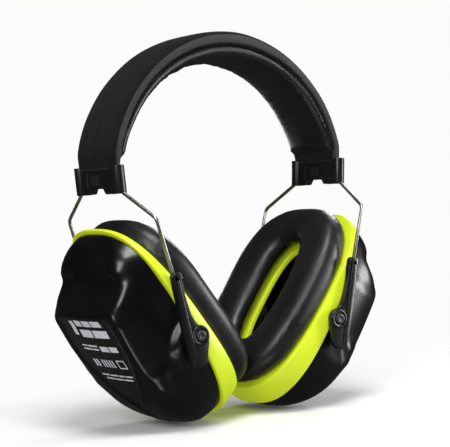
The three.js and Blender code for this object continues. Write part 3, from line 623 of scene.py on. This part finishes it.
def pad_section(distance, signed):
    """Leatherette pad: a flat back inside the sleeve and a full, crowned underside."""
    n = neck(distance)
    w = PAD_HALF_WIDTH - 1.2 * n
    top = PAD_EDGE_DEPTH - 1.4 * n
    half = [(0.0, -1.4), (12.0, -1.4), (w - 0.6, -top + 0.3)]
    for a in np.linspace(0, math.pi / 2, 12)[::-1]:
        across = w * math.sin(a)
        half.append((across, -max(pad_depth(distance, signed, across) * math.cos(a) ** 0.22, top)))
    return round_section(mirror_across(half), 1)


def seam_stitches(side):
    """Overlock stitches that bind the sleeve's hem to the pad, along both edges."""
    bodies = []
    for edge in (-1, 1):
        distance = 0.9
        while distance < BAND_LENGTH - 8.0:
            i = min(range(len(BAND)), key=lambda k: abs(BAND[k][2] - distance))
            point, out, at = BAND[i]
            along = np.array([out[2], 0, -out[0]])
            point = point + along * (distance - at)
            jitter = ripple(distance, edge, 2.0, 0.9)
            start = point + edge * (18.2 + 0.15 * jitter) * ACROSS - (2.2 + 0.2 * jitter) * out
            end = point + edge * (17.5 + 0.15 * jitter) * ACROSS - (4.2 + 0.3 * jitter) * out + along * 0.7
            bulge = (start + end) / 2 + edge * 0.4 * ACROSS - 0.25 * out
            path = [start, (start + bulge) / 2 + 0.07 * edge * ACROSS, bulge, (end + bulge) / 2, end]
            bodies.append(tube(path, STITCH_RADIUS, 5))
            distance += STITCH_PITCH
    return joined(*bodies)


def tube(path, radius, sides):
    """A round tube along points, with its section square to the path."""
    path = [np.asarray(p, float) for p in path]
    normal = np.array([0.0, 1.0, 0.02])
    rings = []
    for i, point in enumerate(path):
        along = unit(path[min(i + 1, len(path) - 1)] - path[max(i - 1, 0)])
        normal = unit(normal - along * np.dot(normal, along))
        other = np.cross(along, normal)
        angles = np.arange(sides) * 2 * math.pi / sides
        rings.append(point + radius * (np.cos(angles)[:, None] * normal + np.sin(angles)[:, None] * other))
    return loft(rings)


def bent(corners, reach):
    """The corners joined by straight stretches with a round bend at each corner."""
    path = [corners[0]]
    for before, corner, after in zip(corners, corners[1:], corners[2:]):
        path += corner_arc(before, corner, after, reach, 7)
    return path + [corners[-1]]


def wire_path(edge):
    def in_clip(y, z):
        return CLIP_CENTRE + CLIP_UP * z + ACROSS * y

    arch_end = BAND_LENGTH - NECK_LENGTH
    arch = [point + WIRE_ARCH_Y * ACROSS for point, _, distance in BAND if distance < arch_end]
    corners = [
        arch[-1],
        in_clip(WIRE_ARCH_Y, 6.5),
        in_clip(WIRE_COLUMN_Y, 0.5),
        in_clip(WIRE_COLUMN_Y, -5.4),
        KINK,
        KINK - LEG_UP * (30.0 + WIRE_IN_ARM),
    ]
    path = arch[:-1] + bent(corners, 2.4)
    return [p * np.array([1.0, float(edge), 1.0]) for p in path]


def over_spread(piece, side, slot, *nodes):
    """A piece of the band: hides the CAD nodes it replaces and bakes its placement into its mesh."""
    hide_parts(*nodes)
    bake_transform(piece)


def make_band(side):
    rings, uv = bent_section(sleeve_section, side)
    sleeve = make_piece(side, "sleeve_cover", loft(rings), "textile", 62)
    sleeve.data.materials.append(MATERIALS["binding"])
    add_uv(sleeve, uv)
    around = len(rings[0])
    first, last = 12, 24  # section points of the ribbed side, counted from the crown of the cover
    for polygon in sleeve.data.polygons:
        ks = [v % around for v in polygon.vertices]
        k = sum(ks) / len(ks)
        if max(ks) - min(ks) > 3:
            continue
        if first <= k <= last or around - last <= k <= around - first:
            polygon.material_index = 1
    over_spread(sleeve, side, "sleeve_textile", "headband_sleeve")

    rings, uv = bent_section(pad_section, side)
    pad = make_piece(side, "crown_pad", loft(rings), "pad", 70)
    over_spread(pad, side, "pad_leatherette", "headband_pad")

    stitches = make_piece(side, "sleeve_stitches", seam_stitches(side), "textile")
    add_uv(stitches, [(v.co.x / MM, v.co.z / MM) for v in stitches.data.vertices])
    over_spread(stitches, side, "sleeve_textile")

    def foam_section(distance, signed):
        n = neck(distance)
        top, low = 0.9 - 0.5 * n, -1.2 + 0.1 * n
        return [(14.2, top), (14.2, low), (-14.2, low), (-14.2, top)]

    rings, _ = bent_section(foam_section, side)
    foam = make_piece(side, "band_foam", loft(rings), "foam", 40)
    over_spread(foam, side, "foam", "headband_foam")

    for edge, place in ((-1, "front"), (1, "rear")):
        wire = make_piece(side, f"wire_{place}", tube(wire_path(edge), WIRE_RADIUS, 20), "steel")
        over_spread(wire, side, "spring_steel", f"headband_wire_{place}")


# ---- end clips


def rounded_bar(x0, x1, z0, z1, radius):
    """Outline of a rounded rectangle in (x, z)."""
    radius = min(radius, 0.49 * (x1 - x0), 0.49 * (z1 - z0))
    left, right, low, high = x0 + radius, x1 - radius, z0 + radius, z1 - radius
    points = []
    for cx, cz, start in ((right, high, 0), (left, high, 90), (left, low, 180), (right, low, 270)):
        points += arc_points(cx, cz, radius, start, start + 90, 5)
    return points


def clip_half(facing):
    """One moulded half: round columns at both ends, a sunken panel between them and a notch below."""
    t = CLIP_HALF_THICKNESS
    column = CLIP_HALF_WIDTH - t
    ys = [column + t * math.sin(math.radians(a)) for a in (86, 78, 68, 56, 44, 32, 20, 10, 0)]
    ys += [16.6, 15.6, 15.0, 14.7, 14.4, 14.1, 13.7, 12.5, 10.5, 9.0]  # panel and its edge
    ys += [8.2, 7.9, 7.5, 7.0, 6.4, 5.9, 5.5, 5.2, 3.5, 1.5]  # notch
    ys = sorted(set([-y for y in ys] + ys + [0.0]))
    rings = []
    for y in ys:
        r = abs(y)
        panel = ramp(r, 15.0, -0.9)
        if r > column:
            half = math.sqrt(max(t * t - (r - column) ** 2, 0.02))
        else:
            half = t - CLIP_PANEL_DEPTH * panel
        notch = 2.8 * (1 - np.clip((r - 5.75) / 2.0, 0, 1))
        low = -CLIP_HEIGHT / 2 + notch
        high = CLIP_HEIGHT / 2 - 0.35 * panel
        outline = rounded_bar(0.06, half, low, high, 0.45)
        rings.append([CLIP_CENTRE + CLIP_OUT * facing * x + CLIP_UP * z + ACROSS * y for x, z in outline])
    return facing_out(loft(rings))


def clip_rib(y, z, width, height, facing, depth=0.45):
    """A small plain raised rib on the clip's panel."""
    face = CLIP_HALF_THICKNESS - CLIP_PANEL_DEPTH
    rings = []
    for grow, out in ((0.0, -0.2), (0.0, depth * 0.6), (-0.12, depth)):
        w, h = width / 2 + grow, height / 2 + grow
        rings.append([
            CLIP_CENTRE + CLIP_OUT * facing * (face + out) + CLIP_UP * (z + dz) + ACROSS * (y + dy)
            for dy, dz in ((-w, -h), (w, -h), (w, h), (-w, h))
        ])
    return facing_out(loft(rings))


def make_clip(side):
    for facing, part in ((1, "clip_outer"), (-1, "clip_inner")):
        ribs = [clip_rib(y, 0.2, 0.55, 5.2, facing) for y in (-3.0, -1.0, 1.0, 3.0)]
        ribs.append(clip_rib(7.5, 0.0, 0.5, 8.2, facing, 0.6))
        lip = clip_rib(0, 5.6, 27.5, 0.9, facing, 0.35)
        piece = make_piece(side, f"{part}_shell", joined(clip_half(facing), *ribs, lip), "clip", 38)
        on_body(piece, side, "side", part)


# ---- arms and pins


def arm_outline():
    """Teardrop lever with a collar at the top, a round boss and a tongue, in (outward, up)."""
    bx, bz = PIVOT_IN_ARM
    points = [(-1.6, 1.2), (-2.9, 0.4), (-3.2, -1.0), (-3.2, -4.6)]
    points += curve_points((-3.1, -5.2), (-2.6, -8), (-2.6, -14))[1:]
    points += curve_points((-2.7, -14), (-2.5, -22), (-4.9, bz + 5.9), 9)[1:]
    points += arc_points(bx, bz, 5.3, 108, 205, 14)
    points += [(-8.0, -37.5), (-6.4, -40.5)]
    points += curve_points((-5.4, -43.0), (-4.3, -46.5), (-1.4, -46.8), 7)
    points += curve_points((1.6, -46.8), (4.8, -46.4), (4.7, -42.5), 7)
    points += curve_points((4.7, -42.5), (4.6, -26), (2.9, -12), 12)[1:]
    points += [(2.3, -5.0), (1.9, 0.2), (1.2, 1.2)]
    return np.array(points)


def offset_outline(outline, distance):
    """The outline moved inwards by distance, by its vertex normals."""
    before = np.roll(outline, 1, axis=0)
    after = np.roll(outline, -1, axis=0)
    along = after - before
    along /= np.linalg.norm(along, axis=1)[:, None]
    area = 0.5 * np.sum(outline[:, 0] * after[:, 1] - after[:, 0] * outline[:, 1])
    inward = np.stack([-along[:, 1], along[:, 0]], axis=1) * (1 if area > 0 else -1)
    return outline + inward * distance


def in_arm(x, y, z):
    return ARM_TOP + LEG_OUT * x + LEG_UP * z + ACROSS * y


def plate_body(outline, near, far, round_edge, edge):
    """A flat plate with rounded edges, from y = near to y = far, at the front (-1) or rear (1) arm."""
    levels = []
    for k in range(5):
        a = math.pi / 2 * k / 4
        levels.append((round_edge * (1 - math.sin(a)), near + round_edge * (1 - math.cos(a))))
    levels += [(inset, near + far - y) for inset, y in reversed(levels)]
    rings = [[in_arm(x, edge * y, z) for x, z in offset_outline(outline, inset)] for inset, y in levels]
    return facing_out(loft(rings))


def turned_body(profile, edge, sides):
    """A body turned about the pivot's axis: profile is (radius, y)."""
    bx, bz = PIVOT_IN_ARM
    turns = [(math.cos(a), math.sin(a)) for a in np.arange(sides) * 2 * math.pi / sides]
    rings = [[in_arm(bx + radius * c, edge * y, bz + radius * s) for c, s in turns] for radius, y in profile]
    return facing_out(loft(rings))


def arm_bodies(edge):
    plate = plate_body(arm_outline(), 40.05, 43.0, 0.55, edge)
    rail = [(0.9, 0.6), (-1.1, 0.6), (-1.4, -1.5)] + curve_points((-1.4, -3), (-0.6, -16), (0.3, -30))
    rail += [(1.5, -44.8), (3.3, -44.9), (4.1, -42.5)] + curve_points((4.1, -40), (4.1, -26), (2.9, -12))
    ridge = plate_body(np.array(rail + [(1.6, -1.0)]), 42.2, 43.75, 0.5, edge)
    boss = [(0.05, 42.0), (5.1, 42.0), (5.1, 43.35), (4.85, 43.7), (4.5, 43.8)]
    boss += [(3.75, 43.8), (3.5, 43.65), (3.4, 43.3), (0.05, 43.3)]
    collar = [(-1.9, 1.9), (-3.3, 0.9), (-3.7, -0.9), (-3.4, -2.2)]
    collar += [(1.6, -2.2), (2.1, -1.2), (2.0, 1.0), (1.0, 1.9)]
    collar = plate_body(np.array(collar), 40.4, 43.75, 0.5, edge)
    return joined(plate, ridge, turned_body(boss, edge, 40), collar)


def pin_body(edge):
    profile = [(0.05, 36.5), (1.8, 36.5), (1.8, 43.3), (2.75, 43.35), (2.85, 43.7), (2.8, 44.25), (2.5, 44.6)]
    profile += [(2.0, 44.78), (1.35, 44.8), (1.15, 44.65), (0.95, 44.35), (0.05, 44.3)]
    return turned_body(profile, edge, 36)


def make_arms(side):
    for edge, place in ((-1, "front"), (1, "rear")):
        arm = make_piece(side, f"lever_{place}", arm_bodies(edge), "arm", 42)
        on_body(arm, side, "arms", f"arm_{place}")
        pin = make_piece(side, f"pin_{place}", pin_body(edge), "pin", 42)
        on_body(pin, side, "arms", f"pivot_pin_{place}")


# ---- ear cups


def outline(angle, scale=1.0, half_width=RING_HALF_WIDTH, half_height=RING_HALF_HEIGHT):
    """Point of the egg-shaped outline: (front-rear, up)."""
    c, s = math.cos(angle), math.sin(angle)
    reach = (abs(c) ** OUTLINE_POWER + abs(s) ** OUTLINE_POWER) ** (-1 / OUTLINE_POWER)
    up = half_height * reach * s
    across = half_width * reach * c * (1 + OUTLINE_EGG * up / half_height)
    return across * scale, up * scale


def cup_angles(count):
    """Angles that space the outline's points evenly, because a super-ellipse crowds its corners."""
    fine = np.linspace(0, 2 * math.pi, 2000)
    points = np.array([outline(a) for a in fine])
    length = np.concatenate([[0], np.cumsum(np.linalg.norm(np.diff(points, axis=0), axis=1))])
    return np.interp(np.linspace(0, length[-1], count, endpoint=False), length, fine)


def in_cup(across, up, outward):
    return CUP_CENTRE + CUP_OUT * outward + CUP_UP * up + ACROSS * across


def ring_top(up):
    return RING_DEPTH - RING_WEDGE * up


def round_cup(section, count):
    """Rings round the cup from section(angle), a list of (across, up, outward)."""
    return [[in_cup(*point) for point in section(angle)] for angle in cup_angles(count)]


def rounded_loop(corners, radii):
    """A closed outline with each corner rounded by its own radius."""
    points = [np.asarray(corner, float) for corner in corners]
    out = []
    for i, radius in enumerate(radii):
        out += corner_arc(points[i - 1], points[i], points[(i + 1) % len(points)], radius, 4)
    return out


def ring_section(angle):
    outer = outline(angle, 1.0)
    middle = outline(angle, 1.018)
    flare = outline(angle, 1.02)
    wall = outline(angle, 1.0, RING_HALF_WIDTH - 2.6, RING_HALF_HEIGHT - 2.6)
    lip = outline(angle, 1.0, EAR_HOLE[0] + 2.2, EAR_HOLE[1] + 2.2)
    hole = outline(angle, 1.0, EAR_HOLE[0], EAR_HOLE[1])
    top = ring_top(flare[1])
    corners = [
        (*outer, 0.0), (*middle, top * 0.45), (*flare, top), (*wall, top), (*wall, 1.6), (*lip, 1.6),
        (*lip, EAR_LIP), (*hole, EAR_LIP), (*hole, 0.0),
    ]
    return rounded_loop(corners, [0.9, 2.0, 0.45, 0.3, 0.3, 0.3, 0.5, 0.5, 0.5])


def keep_clear_of_middle(point):
    """Cushions press together at the bottom: each is flattened a little short of the middle plane."""
    soft = 1.6
    x = point[0]
    if x < MIDDLE_GAP + soft:
        t = (MIDDLE_GAP + soft - x) / soft
        point = point.copy()
        point[0] = MIDDLE_GAP + soft * math.exp(-t)
    return point


def cushion_section(angle):
    """Fat roll of leatherette: full at the outside, rolling over to the ear opening."""
    across, up = outline(angle)
    breathe = 1 + 0.010 * noise.noise(Vector((across * 0.06, up * 0.06, 4.0)))
    d = CUSHION_DEPTH + 1.2 * smoothstep(up / 50)

    def outer(scale, depth):
        x, y = outline(angle, scale * breathe, half_height=CUSHION_HALF_HEIGHT)
        return (x, y - CUSHION_DROP, -depth)

    def inner(grow, depth):
        x, y = outline(angle, 1.0, CUSHION_HOLE[0] + grow, CUSHION_HOLE[1] + grow)
        return (x, y, -depth)

    return [
        outer(0.89, 0.45), outer(0.93, 0.4), outer(0.955, 1.4), outer(0.975, 3.6), outer(0.992, 6.6),
        outer(0.988, 9.6), outer(0.955, 0.83 * d), outer(0.89, 0.95 * d), outer(0.81, d), inner(8.6, d),
        inner(3.6, 0.95 * d), inner(-0.4, 0.83 * d), inner(-2.6, 9.6), inner(-2.7, 7.0), inner(-1.6, 5.4),
        inner(-0.2, 4.6), inner(0.4, 3.8), inner(0.6, 2.8), inner(1.8, 2.0), outer(0.89, 2.0),
    ]


def mesh_points(piece):
    flat = np.zeros(3 * len(piece.data.vertices))
    piece.data.vertices.foreach_get("co", flat)
    return flat.reshape(-1, 3) / MM


def puffed(body):
    """The body swollen by a cloth simulation: its base is held, and no point moves further than the cap."""
    probe = mesh_object("swelling", body, 1, MATERIALS["cushion"])
    remesh = probe.modifiers.new("voxels", "REMESH")
    remesh.mode = "VOXEL"
    remesh.voxel_size = PUFF_VOXEL * MM
    apply_modifiers(probe)
    rest = mesh_points(probe)
    depth = -(rest - CUP_CENTRE) @ CUP_OUT
    group = probe.vertex_groups.new(name="held")
    for i, weight in enumerate(ramp(depth, PUFF_HELD_DEPTH, -2.0)):
        if weight > 0:
            group.add([i], float(weight), "REPLACE")
    cloth = probe.modifiers.new("puff", "CLOTH")
    settings = cloth.settings
    settings.quality = 5
    settings.mass = 0.2
    settings.use_pressure = True
    settings.uniform_pressure_force = PUFF_PRESSURE
    settings.vertex_group_mass = "held"
    settings.effector_weights.gravity = 0
    settings.tension_stiffness = settings.compression_stiffness = 12
    settings.bending_stiffness = 0.4
    for step in range(1, 21):
        bpy.context.scene.frame_set(step)
    apply_modifiers(probe)
    bpy.context.scene.frame_set(1)
    swollen = mesh_points(probe)
    move = swollen - rest
    length = np.linalg.norm(move, axis=1)
    capped = move * (PUFF_CAP * np.tanh(length / PUFF_CAP) / np.maximum(length, 1e-6))[:, None]
    faces = [tuple(p.vertices) for p in probe.data.polygons]
    bpy.data.objects.remove(probe)
    return rest + capped, faces


def cushion_body():
    rings = [round_section(ring, 3) for ring in round_cup(cushion_section, 120)]
    vertices, faces = puffed(facing_out(loft(rings, loop=True)))
    return np.array([keep_clear_of_middle(p) for p in vertices]), faces


def make_cushion(side):
    piece = make_piece(side, "cushion", CUSHION, "cushion")
    subdivide(piece)
    on_body(piece, side, "cup", "ear_cushion")


def face_height(wide, up):
    """The outer face: gently domed, falling away at the bottom, with a shallow shield-shaped label recess."""
    height = FACE.height - FACE.fall_up * (up - FACE.crown) ** 2 - FACE.fall_wide * wide**2
    height = height - FACE.toe_fall * np.minimum(0, up - FACE.toe) ** 2
    low = np.clip((PANEL.shoulder - up) / PANEL.length, 0, 1)
    half = PANEL.half_width * (1 - low**1.5) ** 0.8
    recess = smoothstep((half - wide + 0.6) / 2.2) * ramp(up, PANEL.top, -5)
    bead = bump(wide - half - 2.0, PANEL.bead_reach) * ramp(up, PANEL.top + 1, -5)
    return height - PANEL.depth * recess + PANEL.bead * bead


def slope_height(wide, up):
    """The sloping top: a finger dish between two raised lips, starting at the face's upper edge."""
    edge = ramp(wide, LIPS.wide, LIPS.over)
    lip = SLOPE.height - SLOPE.steep * (up - SLOPE.start)
    lip = lip - NOTCH.depth * edge * bump(up - NOTCH.up, NOTCH.reach)
    lip = lip + (BULGE.middle + BULGE.edge * edge) * bump(up - BULGE.up, BULGE.reach)
    lip = lip + SLOPE.toe_curve * np.maximum(up - SLOPE.toe, 0) ** 2
    belly = DISH.start - DISH.drop * ramp(up, DISH.at, DISH.over)
    belly = belly + DISH.rise * ramp(up, DISH.end, DISH.end_over)
    return lip + (1 - np.minimum(wide / DISH.half_width, 1.2) ** 2) * belly


def pocket_field(wide, up, outward):
    """Above zero in the pocket beside an arm: a hollow in the side wall that ends in a round rim."""
    inner = POCKET.curve * np.maximum(outward - POCKET.start, 0) ** 2
    floor = POCKET.wide - inner + POCKET.foot_curve * np.maximum(POCKET.foot - outward, 0) ** 2
    floor = floor + POCKET.fade * ramp(up, -2, -13) * ramp(outward, 25, 9)
    lean = POCKET_RIM.lean * (POCKET_RIM.wide - POCKET_RIM.follow * inner - wide)
    end_rise = POCKET_END.rise * ramp(outward, POCKET_END.at, POCKET_END.over)
    end = POCKET_RIM.stiffness * (up - POCKET_END.up - end_rise - lean)
    low_drop = POCKET_LOW.drop * ramp(up, POCKET_LOW.at, POCKET_LOW.over)
    low = POCKET_RIM.stiffness * (outward - POCKET_LOW.height + low_drop - lean)
    return soft_min(wide - floor, soft_min(end, low, BLEND.pocket_ends), BLEND.pocket_floor)


def shell_field(across, up, outward):
    """Below zero inside the shell's body, about a distance in millimetres near its surface."""
    wide = np.abs(across)
    half_width = RING_HALF_WIDTH * (1 + OUTLINE_EGG * up / RING_HALF_HEIGHT)
    rho = (wide / half_width) ** OUTLINE_POWER + (np.abs(up) / RING_HALF_HEIGHT) ** OUTLINE_POWER
    rho = rho ** (1 / OUTLINE_POWER)
    rise = np.maximum((outward - 6) / 34, 0)
    wall_lean = WALL.lean + WALL.low_lean * ramp(up, WALL.low, -WALL.over)
    wall = (rho - (WALL.scale - WALL.draft * rise - wall_lean * rise**3)) * WALL.full
    face = outward - face_height(wide, up)
    slope = (outward - slope_height(wide, up)) * SLOPE.flatten
    shoulder_blend = BLEND.shoulder - 3.0 * ramp(up, -26, 12)
    slope_blend = BLEND.slope + 2.6 * ramp(up, 30, 8) + 1.8 * ramp(wide, 23, 7)
    body = soft_max(soft_max(wall, face, shoulder_blend), slope, slope_blend)
    crescent = ramp(up, 18, 10) * ramp(outward, 36.5, -4)
    rim_blend = BLEND.pocket_rim + 1.4 * ramp(outward, 35.0, -5) + 4.5 * crescent + 4.0 * ramp(up, -5, -9)
    return soft_max(body, pocket_field(wide, up, outward), rim_blend)


def farthest_inside(inside, near, far, steps):
    """Halves the stretch from near to far, elementwise, to find where inside(t) stops being true."""
    for _ in range(steps):
        middle = (near + far) / 2
        found = inside(middle)
        near, far = np.where(found, middle, near), np.where(found, far, middle)
    return near


def shell_reach(climb, angles):
    """Directions from the cup's middle and the distance to the shell's surface along each."""
    rim = np.array([outline(a) for a in angles])
    flat = rim / np.linalg.norm(rim, axis=1)[:, None]
    directions = np.column_stack([flat[:, 0], flat[:, 1], -RING_WEDGE * flat[:, 1]]) * math.cos(climb)
    directions[:, 2] += math.sin(climb)

    def inside(t):
        across, up, outward = (directions * t[:, None]).T
        return shell_field(across, up, SHELL_BASE + outward) < 0

    return directions, farthest_inside(inside, np.zeros(len(angles)), np.full(len(angles), 80.0), 26)


def shell_rings(climbs, wall, count):
    angles = cup_angles(count)
    rings = []
    for climb in climbs:
        directions, reach = shell_reach(climb, angles)
        points = directions * (reach - wall)[:, None] + np.array([0, 0, SHELL_BASE])
        rings.append([in_cup(*point) for point in points])
    return rings


def make_shell(side):
    outer_climbs = np.radians(np.concatenate([[0, 0.3, 0.8], np.linspace(1.5, 89.5, 125)]))
    inner_climbs = np.radians(np.concatenate([[0, 0.5, 2], np.linspace(5, 89, 26)]))
    outside = shell_rings(outer_climbs[::-1], 0.0, 288)
    inside = shell_rings(inner_climbs, SHELL_WALL, 288)
    piece = make_piece(side, "cup_shell", loft(outside + inside), "shell", 50)
    on_body(piece, side, "cup", "shell")


def face_outward(across, up):
    """Height of the shell's outer face above a point of the cup."""

    def inside(outward):
        return shell_field(across, up, outward) < 0

    return farthest_inside(inside, np.full(across.shape, 25.0), np.full(across.shape, 50.0), 22)


def printed_bar(start, end, up, height, side):
    """A film of ink on the shell's face: `start` to `end` in reading direction, centred on `up`."""
    columns = max(3, int((end - start) / 0.8))
    levels = np.linspace(up - height / 2, up + height / 2, max(3, int(height / 0.8)))
    rings = []
    for reading in np.linspace(start, end, columns):
        across = np.full(levels.shape, side * reading)
        surface = face_outward(across, levels)
        film = [in_cup(a, u, n + INK_FILM) for a, u, n in zip(across, levels, surface)]
        sunk = [in_cup(a, u, n - 0.3) for a, u, n in zip(across, levels, surface)]
        rings.append(film + sunk[::-1])
    return facing_out(loft(rings))


def printed_frame(start, end, up, height, side, line=0.6):
    """Outline of a box."""
    half = height / 2 - line / 2
    return [
        printed_bar(start, end, up + half, line, side),
        printed_bar(start, end, up - half, line, side),
        printed_bar(start, start + line, up, height, side),
        printed_bar(end - line, end, up, height, side),
    ]


def make_print(side):
    """Plain bars and a box in white ink, in the rows of a data label."""
    rows = [  # height on the cup, height of the bars, their starts and ends
        (26.0, 3.6, [(-7.5, -1.5), (-0.3, 6.5), (7.7, 16.0)]),
        (20.0, 4.4, [(-6.5, 4.0), (5.2, 18.0)]),
        (12.4, 0.9, [(-13.0, -8.0), (-7.0, 1.5)]),
        (10.3, 0.9, [(-13.0, -5.0), (-4.0, 1.5)]),
        (11.0, 3.2, [(3.5, 10.6), (11.8, 18.5)]),
        (1.6, 4.6, [(-11.0, -9.4), (-8.0, -6.4)] + [(a, a + 1.0) for a in (-3.2, -0.8, 1.6, 4.0, 6.4)]),
        (-6.4, 0.9, [(-12.0, -5.0), (-4.0, 3.0), (4.0, 9.0), (10.0, 16.0)]),
        (-8.8, 0.9, [(-10.0, -2.0), (-1.0, 6.0), (7.0, 14.5)]),
    ]
    bodies = [printed_bar(a, b, up, height, side) for up, height, spans in rows for a, b in spans]
    bodies.append(printed_bar(-13.0, -9.6, 23.0, 8.4, side))
    bodies += printed_frame(10.6, 17.4, 1.6, 5.2, side)
    piece = make_piece(side, "cup_print", joined(*bodies), "ink", 40)
    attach(piece, side_name(side) + "_cup")


def make_ring(side):
    piece = make_piece(side, "yellow_ring", loft(round_cup(ring_section, 144), loop=True), "ring", 35)
    on_body(piece, side, "cup", "base_ring")


def make_liner(side):
    """Foam pressed into the shell, with its ear side dished and a little uneven."""
    climbs = [math.radians(a) for a in (22, 26, 31, 37, 44, 52, 60, 68, 76, 84, 89.4)]
    back = shell_rings(climbs[::-1], SHELL_WALL + 1.2, 96)
    rim = back[-1]
    centre = np.mean(rim, axis=0)
    front = []
    for share in (0.97, 0.93, 0.85, 0.74, 0.62, 0.5, 0.38, 0.26, 0.14, 0.03):
        ring = []
        for p in rim:
            q = centre + (p - centre) * share
            lump = noise.noise(Vector(q * 0.12)) * 0.7 + noise.noise(Vector(q * 0.5)) * 0.3
            ring.append(q - CUP_OUT * lump + CUP_OUT * 2.0 * (1 - share**2))
        front.append(ring)
    piece = make_piece(side, "liner_foam", loft(back + front), "foam", 60)
    on_body(piece, side, "cup", "foam_liner")


def dress_plate(side):
    node = frame["nodes"][side_name(side) + "_cushion_plate"]
    node.data.materials.clear()
    node.data.materials.append(MATERIALS["plate"])


# ---- camera, light, floor


def make_camera():
    """Long lens, from the front left at ear height, rolled a little."""
    azimuth, elevation, roll = (math.radians(a) for a in (-36.39, 1.19, -2.83))
    distance = 0.730
    target = Vector((5.11, 0, -87.4)) * MM
    level = math.cos(elevation)
    back = Vector((math.sin(azimuth) * level, -math.cos(azimuth) * level, math.sin(elevation)))
    right = Vector((0, 0, 1)).cross(back).normalized()
    up = back.cross(right)
    right, up = (
        math.cos(roll) * right + math.sin(roll) * up,
        -math.sin(roll) * right + math.cos(roll) * up,
    )
    data = bpy.data.cameras.new("camera")
    data.lens = 109.85
    data.sensor_width = 36.0
    data.clip_start, data.clip_end = 0.01, 20.0
    camera = bpy.data.objects.new("camera", data)
    turn = Matrix((right, up, back)).transposed().to_4x4()
    camera.matrix_world = Matrix.Translation(target + back * distance) @ turn
    bpy.context.scene.collection.objects.link(camera)
    bpy.context.scene.camera = camera


def soft_light(name, place, aim, size, power, size_y=None):
    data = bpy.data.lights.new(name, "AREA")
    data.energy = power
    data.shape = "RECTANGLE"
    data.size = size
    data.size_y = size_y or size
    light = bpy.data.objects.new(name, data)
    light.location = place
    light.rotation_euler = (Vector(aim) - Vector(place)).to_track_quat("-Z", "Y").to_euler()
    light.visible_camera = False
    bpy.context.scene.collection.objects.link(light)


FLOOR_FADE = 0.34  # metres from the middle to where the floor has melted away
FLOOR_SEEN, FLOOR_MIRRORED = 0.94, 0.06  # share added for the camera, share that reflections see


def stage_card(name, low, reach):
    """White floor that catches the shadow near the object and melts into the white further out."""
    mesh = bpy.data.meshes.new(name)
    corners = [(x * reach, y * reach, 0) for x, y in ((-1, -1), (1, -1), (1, 1), (-1, 1))]
    mesh.from_pydata(corners, [], [(0, 1, 2, 3)])
    floor = bpy.data.objects.new(name, mesh)
    floor.location.z = low
    nodes = MaterialNodes(name)
    grain = nodes.noise(6.0, 3, 0.5)
    nodes.set(Base_Color=nodes.mix(nodes.spread(grain, 0, 1), (0.90, 0.90, 0.90), (0.93, 0.93, 0.93)))
    nodes.set(Roughness=0.9, Specular_IOR_Level=0.0)
    scaled = nodes.add("ShaderNodeMapping", {"Vector": nodes.place, "Scale": [1 / FLOOR_FADE] * 3})
    inputs = {"Vector": scaled.outputs["Vector"]}
    sphere = nodes.add("ShaderNodeTexGradient", inputs, gradient_type="SPHERICAL")
    near = nodes.spread(sphere.outputs["Fac"], 0.0, 1.0, 0.0, 0.55)
    camera_ray = nodes.add("ShaderNodeLightPath").outputs["Is Camera Ray"]
    seen = nodes.math("MULTIPLY_ADD", camera_ray, FLOOR_SEEN, FLOOR_MIRRORED)
    clear = nodes.add("ShaderNodeBsdfTransparent").outputs["BSDF"]
    inputs = {"Fac": nodes.math("MULTIPLY", near, seen), 1: clear, 2: nodes.shader.outputs["BSDF"]}
    mix = nodes.add("ShaderNodeMixShader", inputs)
    nodes.feed(nodes.tree.nodes["Material Output"].inputs["Surface"], mix.outputs["Shader"])
    mesh.materials.append(nodes.material)
    bpy.context.scene.collection.objects.link(floor)


def make_studio():
    """A white backdrop, nearly black in reflections, with a grey room's light and six soft lights."""
    world = bpy.data.worlds.new("studio")
    bpy.context.scene.world = world
    nodes = Nodes(world)
    ray = nodes.add("ShaderNodeLightPath").outputs
    backdrop = nodes.mix(ray["Is Camera Ray"], (0.03, 0.03, 0.032), (0.97, 0.97, 0.97))
    room = nodes.mix(ray["Is Diffuse Ray"], backdrop, (0.26, 0.26, 0.265))
    nodes.feed(nodes.tree.nodes["Background"].inputs["Color"], room)
    middle = (0, 0, -0.09)  # each light: name, place, aim, width, watts, height
    soft_light("key", (-0.80, -0.57, 0.36), middle, 0.40, 5.5, 0.6)
    soft_light("top", (-0.16, -0.40, 0.80), middle, 0.4, 6.5)
    soft_light("side", (0.86, -0.58, 0.02), middle, 0.24, 7.0, 0.6)
    soft_light("horizon", (0.22, 1.15, -0.10), middle, 0.55, 2.6, 0.3)
    soft_light("rim", (0.80, 0.45, 0.40), middle, 0.3, 3.0)
    soft_light("under", (-0.34, -0.52, -0.66), middle, 0.3, 0.7)
    stage_card("floor_card", CAD_BOX[0][2] - 0.0012, 0.5)


# ---- the scene

make_camera()
make_studio()
bpy.context.scene.view_settings.view_transform = "Standard"
CUSHION = cushion_body()
for side in (-1, 1):
    make_band(side)
    make_clip(side)
    make_arms(side)
    make_shell(side)
    make_print(side)
    make_ring(side)
    make_cushion(side)
    make_liner(side)
    dress_plate(side)
